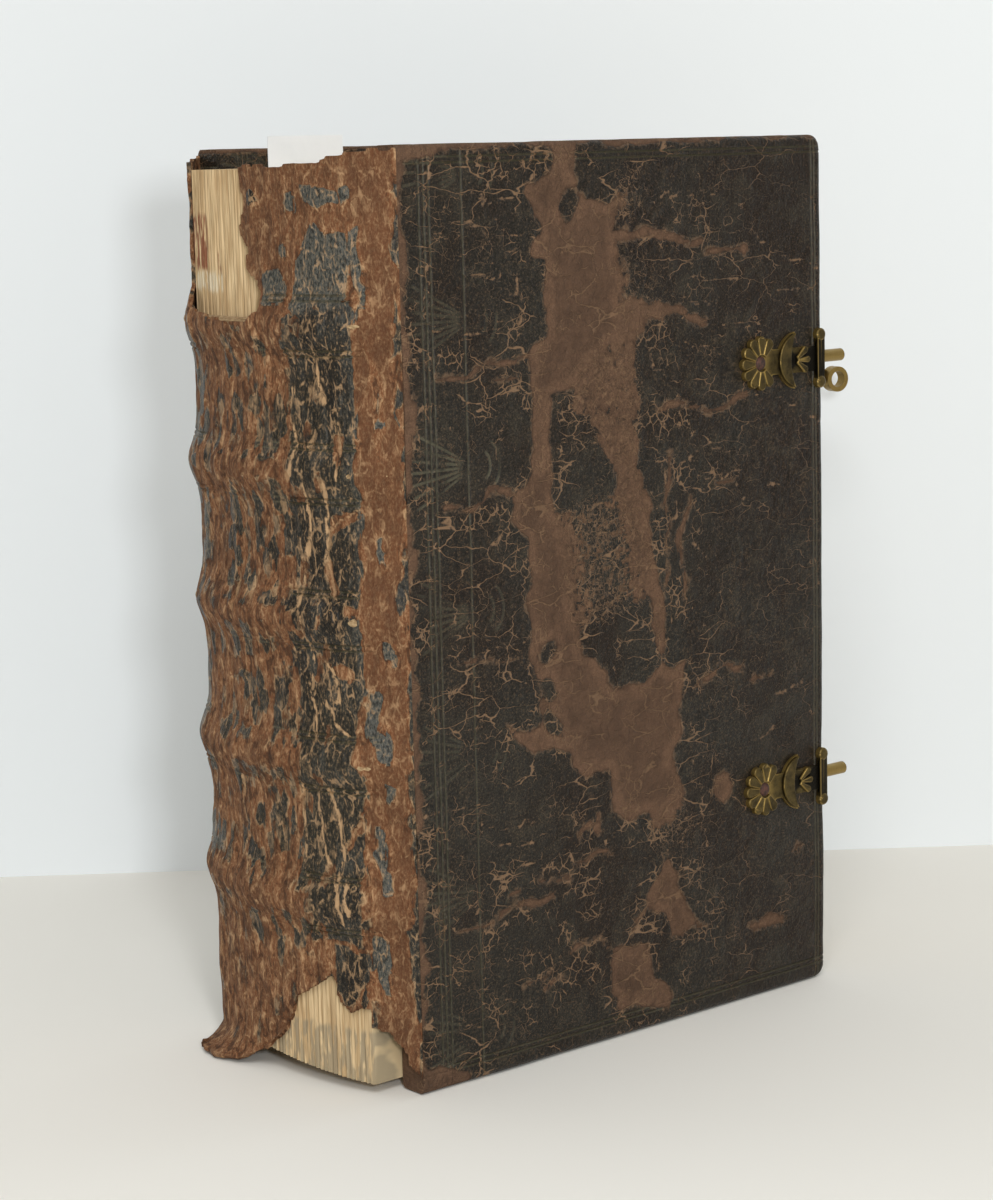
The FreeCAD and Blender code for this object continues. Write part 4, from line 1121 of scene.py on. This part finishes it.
def leather_material(name, group, values, stretch, attributes, stamp=None):
    material, tree, shader = start_material(name)
    vector = object_vector(tree)
    inputs = {label: attribute(tree, stored) for label, stored in attributes.items()}
    inputs.update(values, Vector=scaled(tree, vector, stretch))
    if stamp:
        fans = add_node(tree, "ShaderNodeGroup", node_tree=stamp)
        feed(tree, fans, {"Vector": vector})
        inputs["Tooling"] = largest(tree, fans.outputs["Mask"], attribute(tree, "tool"))
    made = add_node(tree, "ShaderNodeGroup", inputs, node_tree=group).outputs
    feed(tree, shader, {"Base Color": made["Color"], "Roughness": made["Roughness"]})
    feed(tree, shader, {"Specular IOR Level": 0.25})
    add_bump(tree, shader, made["Height"])
    return material


def brass_material(name):
    """Old brass: dull, with painted shade near black in the hollows, rubbed bright on what stands out."""
    material, tree, shader = start_material(name)
    vector = object_vector(tree)
    rubbed_and_shaded = add_node(tree, "ShaderNodeNewGeometry").outputs["Pointiness"]
    patina = noise_value(tree, vector, 2.4, 4.0, 0.65)
    pits = noise_value(tree, vector, 0.35, 3.0, 0.6)
    base = mixed(tree, ramp(tree, patina, 0.35, 0.7), rgb(92, 78, 44), rgb(50, 43, 26))
    base = mixed(tree, ramp(tree, rubbed_and_shaded, 0.5, 0.56), base, rgb(150, 126, 72))
    # Painted shade: near black where the surface bends inward
    base = mixed(tree, ramp(tree, rubbed_and_shaded, 0.49, 0.45), base, rgb(22, 19, 12))
    base = mixed(tree, ramp(tree, pits, 0.62, 0.74), base, rgb(30, 26, 17))
    rough = ramp(tree, patina, 0.3, 0.8, 0.3, 0.55)
    feed(tree, shader, {"Base Color": base, "Metallic": 0.85, "Roughness": rough})
    add_bump(tree, shader, times(tree, pits, 0.08))
    return material


def grained_material(name, stretch, noise, span, colours, finish, relief, metallic=0.0):
    """Two colours, the roughness and the relief, all after one noise."""
    material, tree, shader = start_material(name)
    grain = noise_value(tree, scaled(tree, object_vector(tree), stretch), *noise)
    rough = ramp(tree, grain, *finish) if isinstance(finish, tuple) else finish
    base = mixed(tree, ramp(tree, grain, *span), *colours)
    feed(tree, shader, {"Base Color": base, "Metallic": metallic, "Roughness": rough})
    add_bump(tree, shader, times(tree, grain, relief))
    return material


def leaves_material(name):
    """Edges and folds of old rag paper: close lines along the leaves, foxed and stained."""
    material, tree, shader = start_material(name)
    vector = object_vector(tree)
    leaf = noise_value(tree, scaled(tree, vector, (0.06, 1, 0.03)), 0.34, 2.0, 0.7)
    gather = noise_value(tree, scaled(tree, vector, (0.03, 1, 0.02)), 1.5, 2.0, 0.6)
    stain = noise_value(tree, vector, 16.0, 3.0, 0.6)
    base = mixed(tree, ramp(tree, leaf, 0.3, 0.7), rgb(166, 139, 102), rgb(214, 190, 150))
    base = mixed(tree, times(tree, ramp(tree, gather, 0.55, 0.7), 0.5), base, rgb(132, 102, 68))
    base = mixed(tree, times(tree, ramp(tree, stain, 0.5, 0.75), 0.5), base, rgb(168, 134, 92))
    normal = add_node(tree, "ShaderNodeNewGeometry").outputs["Normal"]
    facing = maths(tree, "ABSOLUTE", add_node(tree, "ShaderNodeSeparateXYZ", {0: normal}).outputs[1])
    base = mixed(tree, ramp(tree, facing, 0.8, 0.95, 0.0, 0.85), base, rgb(202, 180, 142))
    split = add_node(tree, "ShaderNodeSeparateXYZ", {0: warped(tree, vector, 3.0, 0.8)}).outputs
    on_spine = ramp(tree, split[0], (JOINT_X + 1.0) * MM, (JOINT_X - 1.0) * MM)
    streaks = noise_value(tree, scaled(tree, vector, (0.06, 1, 0.12)), 1.1, 3.0, 0.6)
    streaks = ramp(tree, streaks, 0.44, 0.54)
    for low, high, first, last, colour, strength in LEAF_STAINS:
        sides = []
        for axis, start, end in ((2, low, high), (1, first, last)):
            from_start = ramp(tree, split[axis], start * MM, (start + STAIN_EDGE) * MM)
            to_end = ramp(tree, split[axis], end * MM, (end - STAIN_EDGE) * MM)
            sides.append(times(tree, from_start, to_end))
        mask = times(tree, times(tree, *sides), times(tree, streaks, on_spine))
        base = mixed(tree, times(tree, mask, strength), base, colour)
    feed(tree, shader, {"Base Color": base, "Roughness": 0.9, "Specular IOR Level": 0.2})
    add_bump(tree, shader, times_plus(tree, leaf, 0.12, times(tree, gather, 0.1)))
    return material


def paper_material(name, light, shade_colour):
    material, tree, shader = start_material(name)
    vector = object_vector(tree)
    cloud = noise_value(tree, vector, 12.0, 4.0, 0.6)
    fibre = noise_value(tree, vector, 0.5, 3.0, 0.6)
    base = mixed(tree, ramp(tree, cloud, 0.35, 0.75), light, shade_colour)
    feed(tree, shader, {"Base Color": base, "Roughness": ramp(tree, fibre, 0.2, 0.8, 0.8, 0.95)})
    add_bump(tree, shader, times(tree, fibre, 0.03))
    return material


def finish_with(piece, material):
    piece.data.materials.clear()
    piece.data.materials.append(material)


# Sizes and colours that a user may change
def length_setting(name, description, default):
    return bpy.props.FloatProperty(name=name, description=description, default=default * MM, unit="LENGTH")


def colour_setting(name, description, default):
    return bpy.props.FloatVectorProperty(
        name=name, description=description, default=default, size=4, subtype="COLOR", min=0, max=1
    )


class BookCoverSettings(bpy.types.PropertyGroup):
    edge_round: length_setting("Edge Round", "Radius of the covers' edges", 1.5)
    corner_round: length_setting("Corner Round", "Radius of the covers' fore-edge corners", 3.0)
    turn_in: length_setting("Turn-in", "Width of the leather turned over the inner side", 13.0)
    mesh_step: length_setting("Mesh Step", "Distance between the lines of the leather's mesh", 1.0)
    grain_colour: colour_setting("Grain", "Dark grain layer of the leather", GRAIN_COLOUR)
    fibre_colour: colour_setting("Fibres", "Brown fibres where the grain layer is gone", FIBRE_COLOUR)


class BookStageSettings(bpy.types.PropertyGroup):
    lens: bpy.props.FloatProperty(
        name="Lens", description="Focal length of the camera in millimetres", default=84.0,
        subtype="DISTANCE_CAMERA",
    )
    key_power: bpy.props.FloatProperty(
        name="Window Light", description="Power of the main lamp", default=9.0, subtype="POWER"
    )


class DressCovers(bpy.types.Operator):
    """Makes the worn leather of both covers"""

    bl_idname = "book.dress_covers"
    bl_label = "Leather of the Covers"

    def execute(self, context):
        settings = context.scene.book_covers
        group = worn_leather_group()
        values = {
            "Grain Colour": tuple(settings.grain_colour),
            "Fibre Colour": tuple(settings.fibre_colour),
            "Raggedness": 0.35,
        }
        attributes = {"Wear": "wear", "Crack": "crack", "Crackle": "crackle", "Hairlines": "hair"}
        material = leather_material("Cover leather", group, values, (1, 1, 1), attributes, fan_group())
        sheets = (
            ("front_cover_leather", -1, front_wear, "front_cover", "front_leather", 1.0),
            ("back_cover_leather", 1, back_wear, "back_cover", "back_leather", 0.8),
        )
        for name, side, wear_at, body, node, grooved in sheets:
            piece = cover_sheet(name, settings)
            dress_cover(piece, side, wear_at, grooved)
            finish_with(piece, material)
            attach(piece, body)
            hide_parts(node)
        return {"FINISHED"}


class DressSpine(bpy.types.Operator):
    """Makes the torn leather over the spine, with its bands and its hanging flap"""

    bl_idname = "book.dress_spine"
    bl_label = "Leather of the Spine"

    def execute(self, context):
        group = bpy.data.node_groups["Worn leather"]
        values = {
            "Grain Colour": rgb(44, 40, 30),
            "Warm Grain Colour": rgb(30, 25, 17),
            # The ash tone also paints the grazing sheen on the far-left side of the spine
            "Ash and Sheen Colour": rgb(76, 76, 70),
            "Fibre Colour": rgb(116, 74, 46),
            "Light Fibre Colour": rgb(192, 156, 116),
            "Deep Fibre Colour": rgb(60, 37, 22),
            "Raggedness": 0.55,
            "Flakes": 3.2,
            "Mottle": 0.8,
            "Hairlines": 0.0,
        }
        attributes = {"Wear": "wear", "Crack": "crack", "Ash and Sheen": "ash", "Tooling": "tool"}
        material = leather_material("Spine leather", group, values, (1, 1, 0.5), attributes)
        piece = spine_sheet("spine_leather_sheet", SPINE_MESH_STEP)
        dress_spine(piece)
        finish_with(piece, material)
        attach(piece, "text_block")
        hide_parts("spine_leather")
        return {"FINISHED"}


class DressLeaves(bpy.types.Operator):
    """Makes the sewn leaves"""

    bl_idname = "book.dress_leaves"
    bl_label = "Sewn Leaves"

    def execute(self, context):
        piece = leaf_block("sewn_leaves")
        dress_leaves(piece)
        finish_with(piece, leaves_material("Leaf edges"))
        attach(piece, "text_block")
        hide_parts("text_block")
        return {"FINISHED"}


class FinishHardware(bpy.types.Operator):
    """Gives the brass, iron, wood, cord and paper parts their finish"""

    bl_idname = "book.finish_hardware"
    bl_label = "Brass, Iron, Wood and Paper"

    def execute(self, context):
        brass = brass_material("Old brass")
        iron = grained_material(
            "Rusted iron", (1, 1, 1), (0.8, 4.0, 0.7), (0.35, 0.65),
            (rgb(92, 58, 46), rgb(56, 44, 40)), (0.3, 0.7, 0.55, 0.85), 0.15, 0.3,
        )
        wood = grained_material(
            "Board wood", (1, 1, 0.08), (0.9, 4.0, 0.6, 0.4), (0.3, 0.7),
            (rgb(120, 88, 58), rgb(164, 128, 90)), (0.2, 0.8, 0.6, 0.85), 0.1,
        )
        hemp = grained_material(
            "Hemp cord", (1, 0.3, 1), (0.5, 3.0, 0.6), (0.3, 0.7),
            (rgb(126, 100, 68), rgb(176, 150, 112)), 0.9, 0.2,
        )
        endpaper = paper_material("Pasted endpaper", rgb(196, 172, 134), rgb(166, 138, 100))
        white = paper_material("White paper", rgb(238, 243, 247), rgb(230, 236, 240))
        finishes = (
            (("catch_plate", "catch_peg", "hinge_plate", "hinge_pin", "hasp"), brass),
            (("nail",), iron),
            (("board",), wood),
            (("raised_cord",), hemp),
            (("pastedown",), endpaper),
            (("paper_slip",), white),
        )
        for name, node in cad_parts.items():
            for words, material in finishes:
                if any(word in name for word in words):
                    finish_with(node, material)
                    break
        return {"FINISHED"}


class BuildStage(bpy.types.Operator):
    """Sets up the pale table and wall, the lamps and the camera"""

    bl_idname = "book.build_stage"
    bl_label = "Stage"

    def execute(self, context):
        settings = context.scene.book_stage
        scene = context.scene
        scene.view_settings.view_transform = "Standard"
        camera = bpy.data.cameras.new("Camera")
        camera.sensor_fit = "VERTICAL"
        camera.sensor_height = 36
        camera.lens = settings.lens
        camera.clip_start = 0.01
        holder = bpy.data.objects.new("Camera", camera)
        scene.collection.objects.link(holder)
        down = CAMERA_FORWARD.cross(CAMERA_RIGHT).normalized()
        turn = Matrix((CAMERA_RIGHT, -down, -CAMERA_FORWARD)).transposed()
        holder.matrix_world = Matrix.Translation(CAMERA_PLACE) @ turn.to_4x4()
        scene.camera = holder
        self.table_and_wall()
        self.lamps(scene, settings)
        return {"FINISHED"}

    def table_and_wall(self):
        table = new_primitive("Table", bpy.ops.mesh.primitive_plane_add, size=8)
        wall = new_primitive("Wall", bpy.ops.mesh.primitive_plane_add, size=8)
        level = Vector((CAMERA_FORWARD.x, CAMERA_FORWARD.y, 0)).normalized()
        normal = Matrix.Rotation(WALL_TURN, 3, "Z") @ level
        across = Vector((normal.y, -normal.x, 0))
        centre = Vector((CAMERA_PLACE.x, CAMERA_PLACE.y, 0)) + level * WALL_DISTANCE
        upright = Matrix((across, Vector((0, 0, 1)), -normal)).transposed().to_4x4()
        wall.data.transform(Matrix.Translation(centre) @ upright)
        table.data.transform(Matrix.Translation((0, 0, -TABLE_DROP)))
        for piece, colour in ((table, rgb(240, 238, 232)), (wall, rgb(238, 243, 246))):
            material, tree, shader = start_material(piece.name + " paint")
            cloud = times(tree, noise_value(tree, object_vector(tree), 300.0), 0.1)
            shaded = tuple(part * 0.9 for part in colour[:3]) + (1,)
            base = mixed(tree, cloud, colour, shaded)
            feed(tree, shader, {"Base Color": base, "Roughness": 0.9, "Specular IOR Level": 0.1})
            if piece is wall:
                self.open_from_behind(tree, shader)
            finish_with(piece, material)

    def open_from_behind(self, tree, shader):
        """Lets a camera behind the wall see through its far side."""
        side = add_node(tree, "ShaderNodeNewGeometry").outputs["Backfacing"]
        clear = add_node(tree, "ShaderNodeBsdfTransparent").outputs[0]
        choice = add_node(tree, "ShaderNodeMixShader", {0: side, 1: shader.outputs[0], 2: clear}).outputs[0]
        surface = [node for node in tree.nodes if node.type == "OUTPUT_MATERIAL"][0]
        feed(tree, surface, {"Surface": choice})

    def lamps(self, scene, settings):
        world = bpy.data.worlds.new("Studio")
        world.use_nodes = True
        scene.world = world
        background = world.node_tree.nodes["Background"]
        feed(world.node_tree, background, {"Color": WORLD_LIGHT, "Strength": WORLD_STRENGTH})
        for name, at, size, power, colour in (
            ("Window lamp", (-0.75, -0.85, 1.15), 0.6, settings.key_power, (0.98, 0.97, 0.95)),
            ("Camera lamp", (-0.345, -0.46, 0.215), 0.05, settings.key_power * 0.12, (0.96, 0.98, 1.0)),
        ):
            lamp = bpy.data.lights.new(name, "AREA")
            lamp.energy = power
            lamp.size = size
            lamp.color = colour
            holder = bpy.data.objects.new(name, lamp)
            scene.collection.objects.link(holder)
            aim = (Vector((0, 0, 0.08)) - Vector(at)).to_track_quat("-Z", "Y")
            holder.matrix_world = Matrix.Translation(Vector(at)) @ aim.to_matrix().to_4x4()


class BookPanel(bpy.types.Panel):
    """Lists the steps that dress the book"""

    bl_idname = "VIEW3D_PT_book"
    bl_label = "Clasped Book"
    bl_space_type = "VIEW_3D"
    bl_region_type = "UI"
    bl_category = "Book"

    def draw(self, context):
        layout = self.layout
        covers = context.scene.book_covers
        for name in ("edge_round", "corner_round", "turn_in", "mesh_step", "grain_colour", "fibre_colour"):
            layout.prop(covers, name)
        stage = context.scene.book_stage
        for name in ("lens", "key_power"):
            layout.prop(stage, name)
        for operator in OPERATORS:
            layout.operator(operator.bl_idname)


OPERATORS = (DressCovers, DressSpine, DressLeaves, FinishHardware, BuildStage)
CLASSES = (BookCoverSettings, BookStageSettings) + OPERATORS + (BookPanel,)


def register():
    for item in CLASSES:
        bpy.utils.register_class(item)
    bpy.types.Scene.book_covers = bpy.props.PointerProperty(type=BookCoverSettings)
    bpy.types.Scene.book_stage = bpy.props.PointerProperty(type=BookStageSettings)


def unregister():
    del bpy.types.Scene.book_covers
    del bpy.types.Scene.book_stage
    for item in reversed(CLASSES):
        bpy.utils.unregister_class(item)


def main():
    register()
    bpy.ops.book.build_stage()
    bpy.ops.book.dress_covers()
    bpy.ops.book.dress_spine()
    bpy.ops.book.dress_leaves()
    bpy.ops.book.finish_hardware()


if __name__ == "__main__":
    main()
